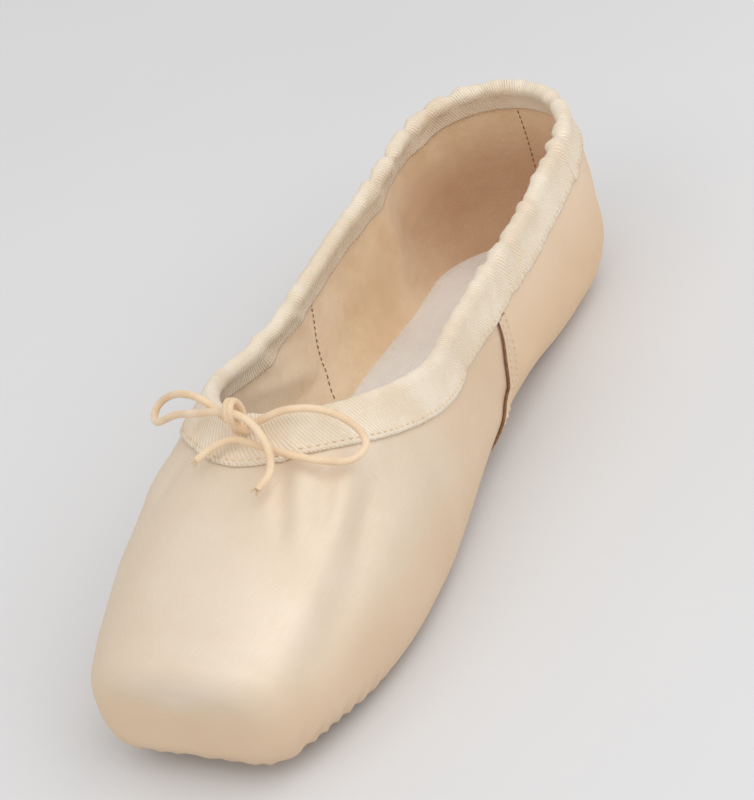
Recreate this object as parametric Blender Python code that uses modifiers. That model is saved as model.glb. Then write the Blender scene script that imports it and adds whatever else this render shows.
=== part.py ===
"""A pointe shoe, straight lasted, that stands empty on its leather outsole.

Metres, +X towards the toe, +Y towards the wearer's left, +Z up, and the floor at zero.
The upper is one hollow shell: a stiff block round the toes that ends in a flat
platform, and soft quarters behind it. It is worked out from one surface, shoe_surface,
and everything that lies on the upper is worked out from the same surface.
"""
from collections import namedtuple
from math import cos, pi, sin

import bmesh
import bpy
import numpy as np

# Driving sizes of the last and of the upper.
SHOE_LENGTH = 0.236
BALL_WIDTH = 0.074
INSTEP_HEIGHT = 0.057
VAMP_LENGTH = 0.064
THROAT_RUN = 0.052
THROAT_EXPONENT = 2.1
HEEL_FAN = 0.036
HEEL_EXPONENT = 2.15
HEEL_TOP_RISE = 0.003
HEEL_TREAD_END = 0.0145
PLATFORM_RIM = 0.0060
RIDGE_SHARE = 0.25
BLOCK_WALL = 0.0024
QUARTER_WALL = 0.0014
WALL_CHANGE_START = 0.050
WALL_CHANGE_END = 0.085

# Sole, insole and what is sewn on.
GAP = 0.0003
OUTSOLE_THICKNESS = 0.0020
OUTSOLE_MARGIN = 0.0010
OUTSOLE_EDGE = 0.0006
OUTSOLE_SETBACK = 0.019
OUTSOLE_FRONT_ROUND = 0.018
LASTING_LAP = 0.0065
OPENING_SETBACK = 0.029
OPENING_FRONT_ROUND = 0.022
INSOLE_THICKNESS = 0.0016
INSOLE_SETBACK = 0.032
INSOLE_CLEARANCE = 0.0005
BINDING_TAPE = 0.0007
BINDING_ROLL = 0.0012
BINDING_OUTSIDE = 0.0105
BINDING_INSIDE = 0.0075
BINDING_TAB = 0.0035
BINDING_TAB_HALF = 0.009
BACK_TAPE_WIDTH = 0.013
SEAM_WIDTH = 0.0048
SEAM_TAPE = 0.0005
SEAM_FOOT = 0.119
SEAM_TOP = 0.094

# Drawstring bow at the throat. The knot's sizes are across, along and through it.
CORD = 0.0019
CORD_STEP = 0.0038
KNOT_SIZE = (0.0066, 0.0054, 0.0046)
KNOT_DOWN = 0.0045
LOOP_LENGTH = 0.030

# Levels of the surface run from the middle of the sole, -2, by the tread's edge, -1, and the
# widest line, 0, up to the ridge of the vamp. The sides are the wearer's.
RIDGE = 1.0
LEFT, RIGHT = 1.0, -1.0

# One row for each section of the last, heel to platform. along is a share of the length,
# width and tread are shares of half the ball width, widest and top of the instep height.
Section = namedtuple("Section", "along width tread widest top crown feather")
SECTIONS = (
    Section(0.1525, 0.800, 0.560, 0.35, 1.34, 2.20, 2.2),
    Section(0.25, 0.790, 0.545, 0.34, 1.28, 2.20, 2.2),
    Section(0.35, 0.795, 0.480, 0.33, 1.25, 2.20, 2.2),
    Section(0.43, 0.820, 0.465, 0.32, 1.235, 2.20, 2.2),
    Section(0.52, 0.865, 0.570, 0.31, 1.20, 2.20, 2.2),
    Section(0.61, 0.925, 0.730, 0.31, 1.15, 2.20, 2.2),
    Section(0.69, 0.980, 0.810, 0.31, 1.08, 2.20, 2.2),
    Section(0.76, 1.000, 0.825, 0.31, 1.005, 2.25, 2.2),
    Section(0.84, 0.960, 0.775, 0.31, 0.895, 2.35, 2.2),
    Section(0.92, 0.845, 0.620, 0.31, 0.765, 2.50, 2.2),
    Section(1.00, 0.670, 0.420, 0.31, 0.615, 2.80, 2.3),
)

# Height of the sole's underside off the floor: flat at heel and ball, an arch between.
Lift = namedtuple("Lift", "along height")
ARCH_HEIGHT = 0.0040
TOE_SPRING = 0.0032
LIFTS = (
    Lift(0.00, 0.0),
    Lift(0.20, 0.0),
    Lift(0.38, 1.0),
    Lift(0.56, 0.35),
    Lift(0.66, 0.0),
    Lift(0.82, 0.0),
)

# Half width of the collar as a share of the shoe's half width there, throat to back.
Collar = namedtuple("Collar", "along share")
COLLARS = (
    Collar(0.00, 0.82),
    Collar(0.15, 0.85),
    Collar(0.30, 0.87),
    Collar(0.50, 0.87),
    Collar(0.70, 0.86),
)

# Soft dents and bulges of the quarters. side is LEFT or RIGHT, behind is the distance back
# from the throat as a share of the length, below the share of the way down from the collar.
Fold = namedtuple("Fold", "side behind below run reach depth")
FOLD_UNIT = 0.001
FOLDS = (
    Fold(LEFT, 0.25, 0.15, 0.070, 0.40, 1.6),
    Fold(LEFT, 0.45, 0.05, 0.070, 0.35, -1.2),
    Fold(RIGHT, 0.22, 0.12, 0.070, 0.40, 1.5),
    Fold(RIGHT, 0.42, 0.05, 0.080, 0.35, -1.0),
    Fold(RIGHT, 0.56, 0.02, 0.050, 0.35, 1.1),
)

# The bow's two cords, each from the knot round its loop and past the knot to its loose end.
# Every bend is a share of the loop's length from the knot: to the left, back and up.
Bend = namedtuple("Bend", "left back up")
LEFT_CORD = (
    Bend(0.12, 0.02, 0.00),
    Bend(0.38, 0.13, 0.05),
    Bend(0.66, 0.20, -0.02),
    Bend(0.90, 0.17, -0.16),
    Bend(1.00, 0.06, -0.26),
    Bend(0.90, -0.09, -0.27),
    Bend(0.66, -0.18, -0.16),
    Bend(0.38, -0.20, -0.05),
    Bend(0.16, -0.18, 0.00),
    Bend(0.00, -0.17, 0.02),
    Bend(-0.16, -0.24, 0.00),
    Bend(-0.28, -0.36, -0.03),
)
RIGHT_CORD = (
    Bend(-0.12, 0.02, 0.01),
    Bend(-0.38, 0.16, 0.07),
    Bend(-0.66, 0.25, 0.02),
    Bend(-0.90, 0.28, -0.12),
    Bend(-1.00, 0.22, -0.22),
    Bend(-0.92, 0.11, -0.20),
    Bend(-0.66, 0.08, -0.04),
    Bend(-0.38, 0.02, 0.08),
    Bend(-0.16, -0.01, 0.16),
    Bend(0.02, -0.04, 0.20),
    Bend(0.20, -0.10, 0.16),
    Bend(0.36, -0.24, 0.06),
    Bend(0.42, -0.42, -0.02),
    Bend(0.36, -0.58, -0.05),
)

HALF_BALL = BALL_WIDTH / 2
RUN_TO_FAN = SHOE_LENGTH - HEEL_FAN
FAN_RUN = HEEL_FAN * pi / 2
FULL_RUN = RUN_TO_FAN + FAN_RUN
MIDDLE_X = (SHOE_LENGTH - GAP - SEAM_TAPE) / 2


def smooth_through(at, places, values):
    """A smooth curve through a table's points that doesn't overshoot them."""
    places, values = np.asarray(places, float), np.asarray(values, float)
    steps = np.diff(places)
    slopes = np.diff(values) / steps
    tangents = np.zeros_like(values)
    same_way = slopes[:-1] * slopes[1:] > 0
    mean = 2 * slopes[:-1] * slopes[1:] / np.where(same_way, slopes[:-1] + slopes[1:], 1)
    tangents[1:-1] = np.where(same_way, mean, 0)
    tangents[0], tangents[-1] = slopes[0], slopes[-1]
    at = np.clip(at, places[0], places[-1])
    i = np.clip(np.searchsorted(places, at) - 1, 0, len(steps) - 1)
    t = (at - places[i]) / steps[i]
    start = (1 + 2 * t) * (1 - t) ** 2 * values[i] + t**2 * (3 - 2 * t) * values[i + 1]
    return start + t * (1 - t) * steps[i] * ((1 - t) * tangents[i] - t * tangents[i + 1])


def from_sections(x, column):
    """One column of the table of sections, at places along the shoe."""
    return smooth_through(
        x / SHOE_LENGTH, [row.along for row in SECTIONS], [getattr(row, column) for row in SECTIONS]
    )


def sole_lift(x):
    """Height of the outsole's underside above the floor."""
    along = x / SHOE_LENGTH
    arch = ARCH_HEIGHT * smooth_through(
        along, [row.along for row in LIFTS], [row.height for row in LIFTS]
    )
    toe = np.clip((along - LIFTS[-1].along) / (1 - LIFTS[-1].along), 0, 1)
    return arch + TOE_SPRING * toe**2


def wall_at(run):
    """The upper's wall: stiff and thick round the toes, one soft layer at the quarters."""
    t = np.clip((run - WALL_CHANGE_START) / (WALL_CHANGE_END - WALL_CHANGE_START), 0, 1)
    t = t * t * (3 - 2 * t)
    return BLOCK_WALL + (QUARTER_WALL - BLOCK_WALL) * t


def fan_share(run):
    """0 ahead of the heel, up to 1 at the centre of the back."""
    return np.clip((run - RUN_TO_FAN) / FAN_RUN, 0, 1)


def oval(side_size, back_size, share, roundness):
    """Radius of an oval in plan, where share turns it from the side to the back."""
    angle = share * pi / 2
    across, behind = np.abs(np.cos(angle)), np.abs(np.sin(angle))
    return ((across / side_size) ** roundness + (behind / back_size) ** roundness) ** (-1 / roundness)


def section_sizes(run):
    """Half width, tread, widest height, top height, underside and curve exponents at a run.

    A run is the distance back from the platform, and past the heel's centre it goes on
    round the back of the heel."""
    x = np.maximum(SHOE_LENGTH - run, HEEL_FAN)
    fan = fan_share(run)
    width = oval(HALF_BALL * from_sections(x, "width"), HEEL_FAN, fan, HEEL_EXPONENT)
    tread = oval(HALF_BALL * from_sections(x, "tread"), HEEL_TREAD_END, fan, 2.0)
    widest = INSTEP_HEIGHT * from_sections(x, "widest")
    rise = HEEL_TOP_RISE * fan * fan * (3 - 2 * fan)
    top = INSTEP_HEIGHT * from_sections(x, "top") + rise
    underside = OUTSOLE_THICKNESS + GAP + sole_lift(x)
    return width, tread, widest, top, underside, from_sections(x, "crown"), from_sections(x, "feather")


def collar_share(run):
    """Half width of the collar as a share of the shoe's, from 0 at the throat."""
    behind = run - VAMP_LENGTH
    sides = smooth_through(
        behind / SHOE_LENGTH, [row.along for row in COLLARS], [row.share for row in COLLARS]
    )
    t = np.clip(behind / THROAT_RUN, 0, 1)
    return sides * (1 - (1 - t) ** THROAT_EXPONENT) ** (1 / THROAT_EXPONENT)


def collar_level(run):
    """Where the upper ends at the top: 1 is the ridge of the vamp, 0 the widest line."""
    crown = from_sections(np.maximum(SHOE_LENGTH - run, HEEL_FAN), "crown")
    share = collar_share(run)
    level = np.arccos(np.clip(share ** (crown / 2), 0, 1)) * 2 / pi
    return np.where(run <= VAMP_LENGTH, RIDGE, level)


def lasting_level(run):
    """Where the upper ends underneath: -2 is the middle of the sole, -1 the tread's edge."""
    tread = section_sizes(run)[1]
    back = run - OPENING_SETBACK
    t = np.clip(back / OPENING_FRONT_ROUND, 0, 1)
    half = (tread - LASTING_LAP) * np.sqrt(1 - (1 - t) ** 2)
    return -2 + half / tread


def fold_depth(run, level, side):
    """How far the quarters' soft folds push the surface inwards."""
    top = collar_level(run)
    below = (top - level) / np.maximum(top + 1, 0.1)
    total = np.zeros(np.broadcast(run, level).shape)
    for fold in FOLDS:
        along = (run - VAMP_LENGTH - fold.behind * SHOE_LENGTH) / (fold.run * SHOE_LENGTH)
        down = (below - fold.below) / fold.reach
        total = total + np.where(side == fold.side, fold.depth * np.exp(-(along**2) - down**2), 0)
    return total * FOLD_UNIT


def crown_height(across, crown):
    """Height over the widest line as a share of the crown's, round at the ridge.

    across is the cosine of the level's turn, 0 at the ridge and 1 at the widest line."""
    flat, full = RIDGE_SHARE**crown, (1 + RIDGE_SHARE**2) ** (crown / 2)
    here = (across ** (4 / crown) + RIDGE_SHARE**2) ** (crown / 2)
    return np.clip((full - here) / (full - flat), 0, 1) ** (1 / crown)


def shoe_surface(run, level, side):
    """Points of the upper's outside.

    level runs -2 to -1 across the flat underneath, -1 to 0 round the feather edge and
    0 to 1 up the side to the ridge. Beyond 1 it comes down on the other side."""
    run, level, side = np.broadcast_arrays(*(np.asarray(a, float) for a in (run, level, side)))
    side = np.where(level > 1, -side, side)
    level = np.where(level > 1, 2 - level, level)
    side = np.where(level < -2, -side, side)
    level = np.where(level < -2, -4 - level, level)
    side = np.where(run > FULL_RUN, -side, side)
    run = np.where(run > FULL_RUN, 2 * FULL_RUN - run, run)
    rim_run = np.clip(PLATFORM_RIM - run, 0, PLATFORM_RIM)
    inset = PLATFORM_RIM - np.sqrt(np.maximum(PLATFORM_RIM**2 - rim_run**2, 0))
    cap = np.clip(-run / PLATFORM_RIM, 0, 1)
    run = np.maximum(run, 0)
    width, tread, widest, top, underside, crown, feather = section_sizes(run)

    turn = np.clip(np.abs(level), 0, 1) * pi / 2
    across, along = np.abs(np.cos(turn)), np.abs(np.sin(turn))
    upper_out, upper_height = width * across ** (2 / crown), crown_height(across, crown)
    lower_out = tread + (width - tread) * across ** (2 / feather)
    flat_out = tread * np.clip(level + 2, 0, 1)
    out = np.where(level >= 0, upper_out, np.where(level >= -1, lower_out, flat_out))
    height = np.where(
        level >= 0,
        widest + (top - widest) * upper_height,
        widest - (widest - underside) * along ** (2 / feather),
    )
    out = out - fold_depth(run, level, side)

    half_height = (top - underside) / 2
    middle = underside + half_height
    shrink = 1 - cap
    out = out * (1 - inset / width) * shrink
    height = middle + (height - middle) * (1 - inset / half_height) * shrink

    fan = fan_share(run) * pi / 2
    x = np.maximum(SHOE_LENGTH - run, HEEL_FAN) - out * np.sin(fan)
    y = side * out * np.cos(fan)
    return np.stack([x, y, height], axis=-1)


def surface_slopes(run, level, side):
    """How the surface moves with run and with level."""
    step_run, step_level = 0.0003, 0.01
    by_run = shoe_surface(run + step_run, level, side) - shoe_surface(run - step_run, level, side)
    by_level = shoe_surface(run, level + step_level, side) - shoe_surface(run, level - step_level, side)
    return by_run / (2 * step_run), by_level / (2 * step_level)


def surface_normal(run, level, side):
    """The outward normal."""
    by_run, by_level = surface_slopes(run, level, side)
    normal = np.cross(by_run, by_level) * np.asarray(side, float)[..., None]
    return normal / np.linalg.norm(normal, axis=-1, keepdims=True)


def off_surface(run, level, side, height):
    """Points that far outside the upper, or inside it where height is negative."""
    side = np.broadcast_to(np.asarray(side, float), np.shape(run))
    height = np.asarray(height, float)
    return shoe_surface(run, level, side) + surface_normal(run, level, side) * height[..., None]


def walk(run, level, side, direction, distance, steps=6):
    """Goes that distance over the surface from each place, and returns the new places."""
    run, level = np.array(run, float), np.array(level, float)
    direction = np.array(direction, float)
    distance = np.broadcast_to(np.asarray(distance, float), run.shape)
    for _ in range(steps):
        by_run, by_level = surface_slopes(run, level, side)
        normal = surface_normal(run, level, side)
        direction = direction - (direction * normal).sum(-1, keepdims=True) * normal
        direction /= np.linalg.norm(direction, axis=-1, keepdims=True)
        wanted = direction * (distance / steps)[..., None]
        a, b, c = (by_run**2).sum(-1), (by_run * by_level).sum(-1), (by_level**2).sum(-1)
        e, f = (by_run * wanted).sum(-1), (by_level * wanted).sum(-1)
        scale = a * c - b * b
        run = run + (c * e - b * f) / scale
        level = level + (a * f - b * e) / scale
    return run, level


def spaced(first, last, count, crowd=1.0):
    """count places from first up to, but not at, last, crowded at the first where crowd > 1."""
    return first + (last - first) * (np.arange(count) / count) ** crowd


def upper_runs():
    """The upper's stations, platform to back, crowded where the openings begin."""
    rim = PLATFORM_RIM * (1 - np.cos(np.arange(4) / 4 * pi / 2))
    return np.concatenate(
        [
            rim,
            spaced(PLATFORM_RIM, OPENING_SETBACK, 5),
            spaced(OPENING_SETBACK, VAMP_LENGTH, 9, 1.5),
            spaced(VAMP_LENGTH, VAMP_LENGTH + THROAT_RUN, 11, 1.9),
            spaced(VAMP_LENGTH + THROAT_RUN, RUN_TO_FAN, 14),
            spaced(RUN_TO_FAN, FULL_RUN, 10),
            [FULL_RUN],
        ]
    )


def upper_levels(run):
    """Levels of one station, from the edge underneath to the edge or ridge at the top."""
    lasting, top = float(lasting_level(run)), float(collar_level(run))
    flat = np.linspace(lasting, -1, 3)[:-1]
    feather = np.linspace(-1, 0, 6)[:-1]
    wall = np.linspace(0, top, 8)
    return np.concatenate([flat, feather, wall])


def clear_scene():
    """Takes everything out of the scene."""
    for obj in list(bpy.data.objects):
        bpy.data.objects.remove(obj, do_unlink=True)


def material(name, colour, roughness, metallic=0.0):
    """A plain material of one colour."""
    made = bpy.data.materials.new(name)
    made.use_nodes = True
    shader = made.node_tree.nodes["Principled BSDF"]
    shader.inputs["Base Color"].default_value = (*colour, 1)
    shader.inputs["Roughness"].default_value = roughness
    shader.inputs["Metallic"].default_value = metallic
    return made


def add_object(name, mesh, paint, collection):
    """An object of that mesh or curve, in its material."""
    obj = bpy.data.objects.new(name, mesh)
    mesh.materials.append(paint)
    collection.objects.link(obj)
    return obj


def finish_mesh(name, builder):
    """A mesh from a bmesh, welded and facing out."""
    bmesh.ops.remove_doubles(builder, verts=builder.verts, dist=1e-6)
    bmesh.ops.recalc_face_normals(builder, faces=builder.faces)
    mesh = bpy.data.meshes.new(name)
    builder.to_mesh(mesh)
    builder.free()
    mesh.shade_smooth()
    return mesh


def add_grid(builder, points, wrap=False):
    """Quads through a grid of points, with its columns joined round where wrap is set."""
    verts = [[builder.verts.new(p) for p in row] for row in points]
    columns = len(verts[0]) if wrap else len(verts[0]) - 1
    for low, high in zip(verts, verts[1:]):
        for j in range(columns):
            k = (j + 1) % len(low)
            builder.faces.new((low[j], low[k], high[k], high[j]))
    return verts


def slab_mesh(name, inside, outside):
    """A closed sheet between two grids of points of one size."""
    builder = bmesh.new()
    rings = [np.concatenate([low, high[::-1]]) for low, high in zip(inside, outside)]
    verts = add_grid(builder, rings, wrap=True)
    builder.faces.new(verts[0])
    builder.faces.new(verts[-1])
    return finish_mesh(name, builder)


def plate_mesh(name, levels):
    """A plate, alike on both sides, from its half outlines at several heights, lowest first.

    Each half outline runs from the front to the point at the middle of the back."""
    builder = bmesh.new()
    loops = []
    for half in levels:
        other = half[-2::-1] * np.array([1, -1, 1])
        loops.append([builder.verts.new(p) for p in np.concatenate([half, other])])
    for low, high in zip(loops, loops[1:]):
        for j in range(len(low)):
            k = (j + 1) % len(low)
            builder.faces.new((low[j], low[k], high[k], high[j]))
    for loop in (loops[0], loops[-1]):
        last = len(loop) - 1
        for j in range(last // 2 - 1):
            builder.faces.new((loop[j], loop[j + 1], loop[last - j - 1], loop[last - j]))
        middle = last // 2
        builder.faces.new((loop[middle - 1], loop[middle], loop[middle + 1]))
    return finish_mesh(name, builder)


def upper_mesh():
    """The outside of the upper as one open sheet, with the wall's thickness as weights."""
    runs = upper_runs()
    cap_rings = (-0.75, -0.45, -0.2)
    builder = bmesh.new()
    for side in (LEFT, RIGHT):
        rows = []
        for share in cap_rings:
            levels = upper_levels(0.0)
            rows.append(shoe_surface(np.full(len(levels), share * PLATFORM_RIM), levels, side))
        for run in runs:
            levels = upper_levels(run)
            rows.append(shoe_surface(np.full(len(levels), run), levels, side))
        centre = shoe_surface(-PLATFORM_RIM, 0.0, side)
        verts = add_grid(builder, rows)
        middle = builder.verts.new(centre)
        for low, high in zip(verts[0], verts[0][1:]):
            builder.faces.new((middle, low, high))
    mesh = finish_mesh("upper", builder)
    toe = max(mesh.polygons, key=lambda face: face.center.x)
    if toe.normal.x < 0:
        mesh.flip_normals()
    return mesh


def make_upper(paint, collection):
    """The block, vamp and quarters as one hollow shell, open at the collar and underneath."""
    mesh = upper_mesh()
    upper = add_object("upper", mesh, paint, collection)
    group = upper.vertex_groups.new(name="wall")
    for vertex in mesh.vertices:
        run = SHOE_LENGTH - vertex.co.x
        group.add([vertex.index], float(wall_at(run)) / BLOCK_WALL, "REPLACE")
    wall = upper.modifiers.new("wall", "SOLIDIFY")
    wall.thickness = BLOCK_WALL
    wall.offset = -1
    wall.vertex_group = "wall"
    wall.use_even_offset = True
    return upper


def outsole_half():
    """Half outline of the outsole in plan, front to back, and the height of its underside."""
    front = SHOE_LENGTH - OUTSOLE_SETBACK - OUTSOLE_FRONT_ROUND
    turn = np.linspace(0, pi / 2, 8)[:-1]
    front_x = front + OUTSOLE_FRONT_ROUND * np.cos(turn)
    sides = np.linspace(front, HEEL_FAN, 26)[:-1]
    side_x = np.concatenate([front_x, sides])
    half = section_sizes(SHOE_LENGTH - side_x)[1] - OUTSOLE_MARGIN
    half[: len(turn)] *= np.sqrt(np.sin(turn))
    half[0] = 0.0
    fan_runs = np.linspace(RUN_TO_FAN, FULL_RUN, 9)
    radius = section_sizes(fan_runs)[1] - OUTSOLE_MARGIN
    fan = fan_share(fan_runs) * pi / 2
    x = np.concatenate([side_x, HEEL_FAN - radius * np.sin(fan)])
    y = np.concatenate([half, radius * np.cos(fan)])
    y[-1] = 0.0
    return x, y


def inset_half(x, y, inset):
    """A half outline moved inwards by the inset."""
    along = np.gradient(np.stack([x, y], 1), axis=0)
    along /= np.linalg.norm(along, axis=1, keepdims=True)
    along[0], along[-1] = (0, 1), (0, -1)
    inward = np.stack([along[:, 1], -along[:, 0]], 1)
    inward *= np.where((inward[:, 1] > 0)[:, None], -1, 1)
    inward[0], inward[-1] = (-1, 0), (1, 0)
    moved = np.stack([x, y], 1) + inward * inset
    moved[0, 1] = moved[-1, 1] = 0.0
    return moved[:, 0], np.maximum(moved[:, 1], 0)


def outsole_mesh():
    """The leather sole: a plate that follows the arch, with its edges rubbed round."""
    x, y = outsole_half()
    levels = []
    for inset, height in (
        (OUTSOLE_EDGE, 0.0),
        (0.0, OUTSOLE_EDGE),
        (0.0, OUTSOLE_THICKNESS - OUTSOLE_EDGE / 2),
        (OUTSOLE_EDGE / 2, OUTSOLE_THICKNESS),
    ):
        edge_x, edge_y = inset_half(x, y, inset)
        levels.append(np.stack([edge_x, edge_y, sole_lift(x) + height], 1)[1:])
    return plate_mesh("outsole", levels)


def inner_reach(run, height):
    """How far out the upper's inside is at a height, in a station's own plane."""
    levels = np.linspace(-1.4, 0.0, 40)
    inside = off_surface(np.full(40, run), levels, LEFT, np.full(40, -float(wall_at(run))))
    fan = float(fan_share(run)) * pi / 2
    centre = max(SHOE_LENGTH - run, HEEL_FAN)
    out = (centre - inside[:, 0]) * sin(fan) + inside[:, 1] * cos(fan)
    return float(np.interp(height, inside[:, 2], out))


def insole_mesh():
    """The sock: a thin sheet on the lasting margin, its edges shaped to the wall."""
    runs = np.concatenate(
        [
            np.linspace(INSOLE_SETBACK, RUN_TO_FAN, 24)[:-1],
            np.linspace(RUN_TO_FAN, FULL_RUN, 9),
        ]
    )
    low, high = [], []
    for run in runs:
        fan = float(fan_share(run)) * pi / 2
        centre = max(SHOE_LENGTH - run, HEEL_FAN)
        floor = float(section_sizes(run)[4]) + float(wall_at(run)) + GAP
        for half, height in ((low, floor), (high, floor + INSOLE_THICKNESS)):
            reach = inner_reach(run, height - GAP) - INSOLE_CLEARANCE
            half.append((centre - reach * sin(fan), max(reach * cos(fan), 0), height))
    low[-1] = (low[-1][0], 0.0, low[-1][2])
    high[-1] = (high[-1][0], 0.0, high[-1][2])
    return plate_mesh("insole", [np.array(low), np.array(high)])


def collar_places():
    """The collar's places round the opening: throat, left side, back, right side."""
    runs = upper_runs()
    runs = runs[runs >= VAMP_LENGTH - 1e-9]
    run = np.concatenate([runs, runs[-2:0:-1]])
    side = np.concatenate([np.full(len(runs), LEFT), np.full(len(runs) - 2, RIGHT)])
    return run, collar_level(run), side


def away_from_opening(run, level, side):
    """Directions on the surface, away from the opening, at places along the collar."""
    points = shoe_surface(run, level, side)
    tangent = np.roll(points, -1, 0) - np.roll(points, 1, 0)
    away = np.cross(surface_normal(run, level, side), tangent)
    away /= np.linalg.norm(away, axis=1, keepdims=True)
    away *= np.where(away[:, 2] > 0, -1, 1)[:, None]
    return away


def binding_mesh():
    """The collar's tape: folded over the edge as a drawstring casing, deeper at the throat."""
    run, level, side = collar_places()
    away = away_from_opening(run, level, side)
    points = shoe_surface(run, level, side)
    from_throat = np.hypot(points[:, 1], points[:, 0] - points[0, 0])
    tab = BINDING_TAB * np.exp(-((from_throat / BINDING_TAB_HALF) ** 2))
    wall = wall_at(run)
    outer_low, outer_high = GAP, GAP + BINDING_TAPE
    shares = (1.0, 0.66, 0.33, 0.06)
    outer = [walk(run, level, side, away, (BINDING_OUTSIDE + tab) * s) for s in shares]
    inner = [walk(run, level, side, away, BINDING_INSIDE * s) for s in shares]
    edge = surface_normal(run, level, side)
    roll = GAP + BINDING_TAPE + BINDING_ROLL
    columns = [off_surface(*place, side, np.full(len(run), outer_high)) for place in outer]
    columns[-1] = off_surface(*outer[-1], side, np.full(len(run), outer_high + BINDING_ROLL / 2))
    lining = [-wall_at(place[0]) - GAP for place in inner]
    columns.append(points + edge * outer_high - away * roll * 0.75)
    columns.append(points - edge * (wall / 2)[:, None] - away * roll)
    columns.append(points - edge * (wall + outer_high)[:, None] - away * roll * 0.75)
    columns.append(off_surface(*inner[-1], side, lining[-1] - BINDING_TAPE - BINDING_ROLL / 2))
    columns += [
        off_surface(*place, side, height - BINDING_TAPE)
        for place, height in zip(inner[-2::-1], lining[-2::-1])
    ]
    columns += [off_surface(*place, side, height) for place, height in zip(inner, lining)]
    columns.append(points - edge * (wall + GAP)[:, None] - away * GAP)
    columns.append(points + edge * outer_low - away * GAP)
    columns += [off_surface(*place, side, np.full(len(run), outer_low)) for place in outer[::-1]]
    rings = np.stack(columns, 1)
    builder = bmesh.new()
    add_grid(builder, np.concatenate([rings, rings[:1]]), wrap=True)
    return finish_mesh("collar_binding", builder)


def strip_mesh(name, run, level, side, across, width, columns):
    """A tape on the upper: a line of places, widened across it, as a thin closed slab."""
    side = np.broadcast_to(np.asarray(side, float), run.shape)
    inside, outside = [], []
    for share in np.linspace(-0.5, 0.5, columns):
        place = (run, level)
        if abs(share) > 1e-6:
            place = walk(run, level, side, across * np.sign(share), width * abs(share), 4)
        inside.append(off_surface(*place, side, np.full(len(run), GAP)))
        outside.append(off_surface(*place, side, np.full(len(run), GAP + SEAM_TAPE)))
    return slab_mesh(name, np.stack(inside, 1), np.stack(outside, 1))


def below_binding(run, side):
    """The level just under the binding's lower edge."""
    places = collar_places()
    away = away_from_opening(*places)
    low_run, low_level = walk(*places, away, BINDING_OUTSIDE + GAP * 2)
    chosen = places[2] == side
    order = np.argsort(low_run[chosen])
    return float(np.interp(run, low_run[chosen][order], low_level[chosen][order]))


def back_tape_mesh():
    """The tape up the middle of the heel, from the outsole's end to the binding."""
    top = below_binding(FULL_RUN, LEFT)
    tread = float(section_sizes(FULL_RUN)[1])
    foot = -1 + GAP / tread
    level = np.linspace(foot, top, 17)
    run = np.full(17, FULL_RUN)
    across = np.tile((0.0, 1.0, 0.0), (17, 1))
    return strip_mesh("back_tape", run, level, LEFT, across, BACK_TAPE_WIDTH, 5)


def side_seam_mesh(name, side):
    """A raised seam of the quarter, from the outsole's edge up and back to the binding."""
    share = np.linspace(0, 1, 16)
    run = SHOE_LENGTH - (SEAM_FOOT + (SEAM_TOP - SEAM_FOOT) * share)
    top = below_binding(run[-1], side)
    level = -0.97 + (top + 0.97) * share
    across = np.tile((1.0, 0.0, 0.0), (16, 1))
    return strip_mesh(name, run, level, side, across, SEAM_WIDTH, 3)


def knot_frame():
    """The knot's centre, and which ways are left, back and up for it."""
    run, level, side = (np.array([value]) for value in (VAMP_LENGTH, RIDGE, LEFT))
    forward = np.array([(1.0, 0.0, 0.0)])
    place = walk(run, level, side, forward, KNOT_DOWN)
    up = surface_normal(*place, side)[0]
    left = np.array((0.0, 1.0, 0.0))
    back = np.cross(up, left)
    seat = GAP + BINDING_TAPE + BINDING_ROLL / 2 + GAP + KNOT_SIZE[2] / 2
    centre = shoe_surface(*place, side)[0] + up * seat
    return centre, left, back, up


def cord_path(bends):
    """Points a step apart on the smooth path through a cord's bends."""
    centre, left, back, up = knot_frame()
    rows = np.array(bends) * LOOP_LENGTH
    corners = centre + rows[:, :1] * left + rows[:, 1:2] * back + rows[:, 2:] * up
    ends = np.concatenate([[2 * corners[0] - corners[1]], corners, [2 * corners[-1] - corners[-2]]])
    fine = []
    for a, b, c, d in zip(ends, ends[1:], ends[2:], ends[3:]):
        for t in np.arange(12) / 12:
            fine.append(
                b + (c - a) * t / 2 + (2 * a - 5 * b + 4 * c - d) * t**2 / 2
                + (3 * b - a - 3 * c + d) * t**3 / 2
            )
    fine = np.array(fine + [corners[-1]])
    reach = np.concatenate([[0], np.cumsum(np.linalg.norm(np.diff(fine, axis=0), axis=1))])
    count = round(reach[-1] / CORD_STEP)
    at = np.linspace(0, reach[-1], count + 1)
    return np.stack([np.interp(at, reach, fine[:, k]) for k in range(3)], 1)


def make_cord(name, bends, paint, collection):
    """One cord of the bow, as a round tube along its path."""
    points = cord_path(bends)
    curve = bpy.data.curves.new(name, "CURVE")
    curve.dimensions = "3D"
    curve.bevel_depth = CORD / 2
    curve.bevel_resolution = 2
    curve.use_fill_caps = True
    line = curve.splines.new("POLY")
    line.points.add(len(points) - 1)
    for point, place in zip(line.points, points):
        point.co = (*place, 1)
    return add_object(name, curve, paint, collection)


def make_knot(paint, collection):
    """The bow's knot, as the rounded lump that the cord is drawn up into."""
    centre, left, back, up = knot_frame()
    builder = bmesh.new()
    bmesh.ops.create_uvsphere(builder, u_segments=16, v_segments=10, radius=0.5)
    for vertex in builder.verts:
        x, y, z = (co * size for co, size in zip(vertex.co, KNOT_SIZE))
        vertex.co = centre + x * left + y * back + z * up
    return add_object("bow_knot", finish_mesh("bow_knot", builder), paint, collection)


def centre_on_origin(collection):
    """Hangs every piece on one empty, so that the shoe's middle lies over the origin."""
    frame = bpy.data.objects.new("shoe_frame", None)
    frame.location.x = -MIDDLE_X
    for piece in list(collection.objects):
        piece.parent = frame
    collection.objects.link(frame)


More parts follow.
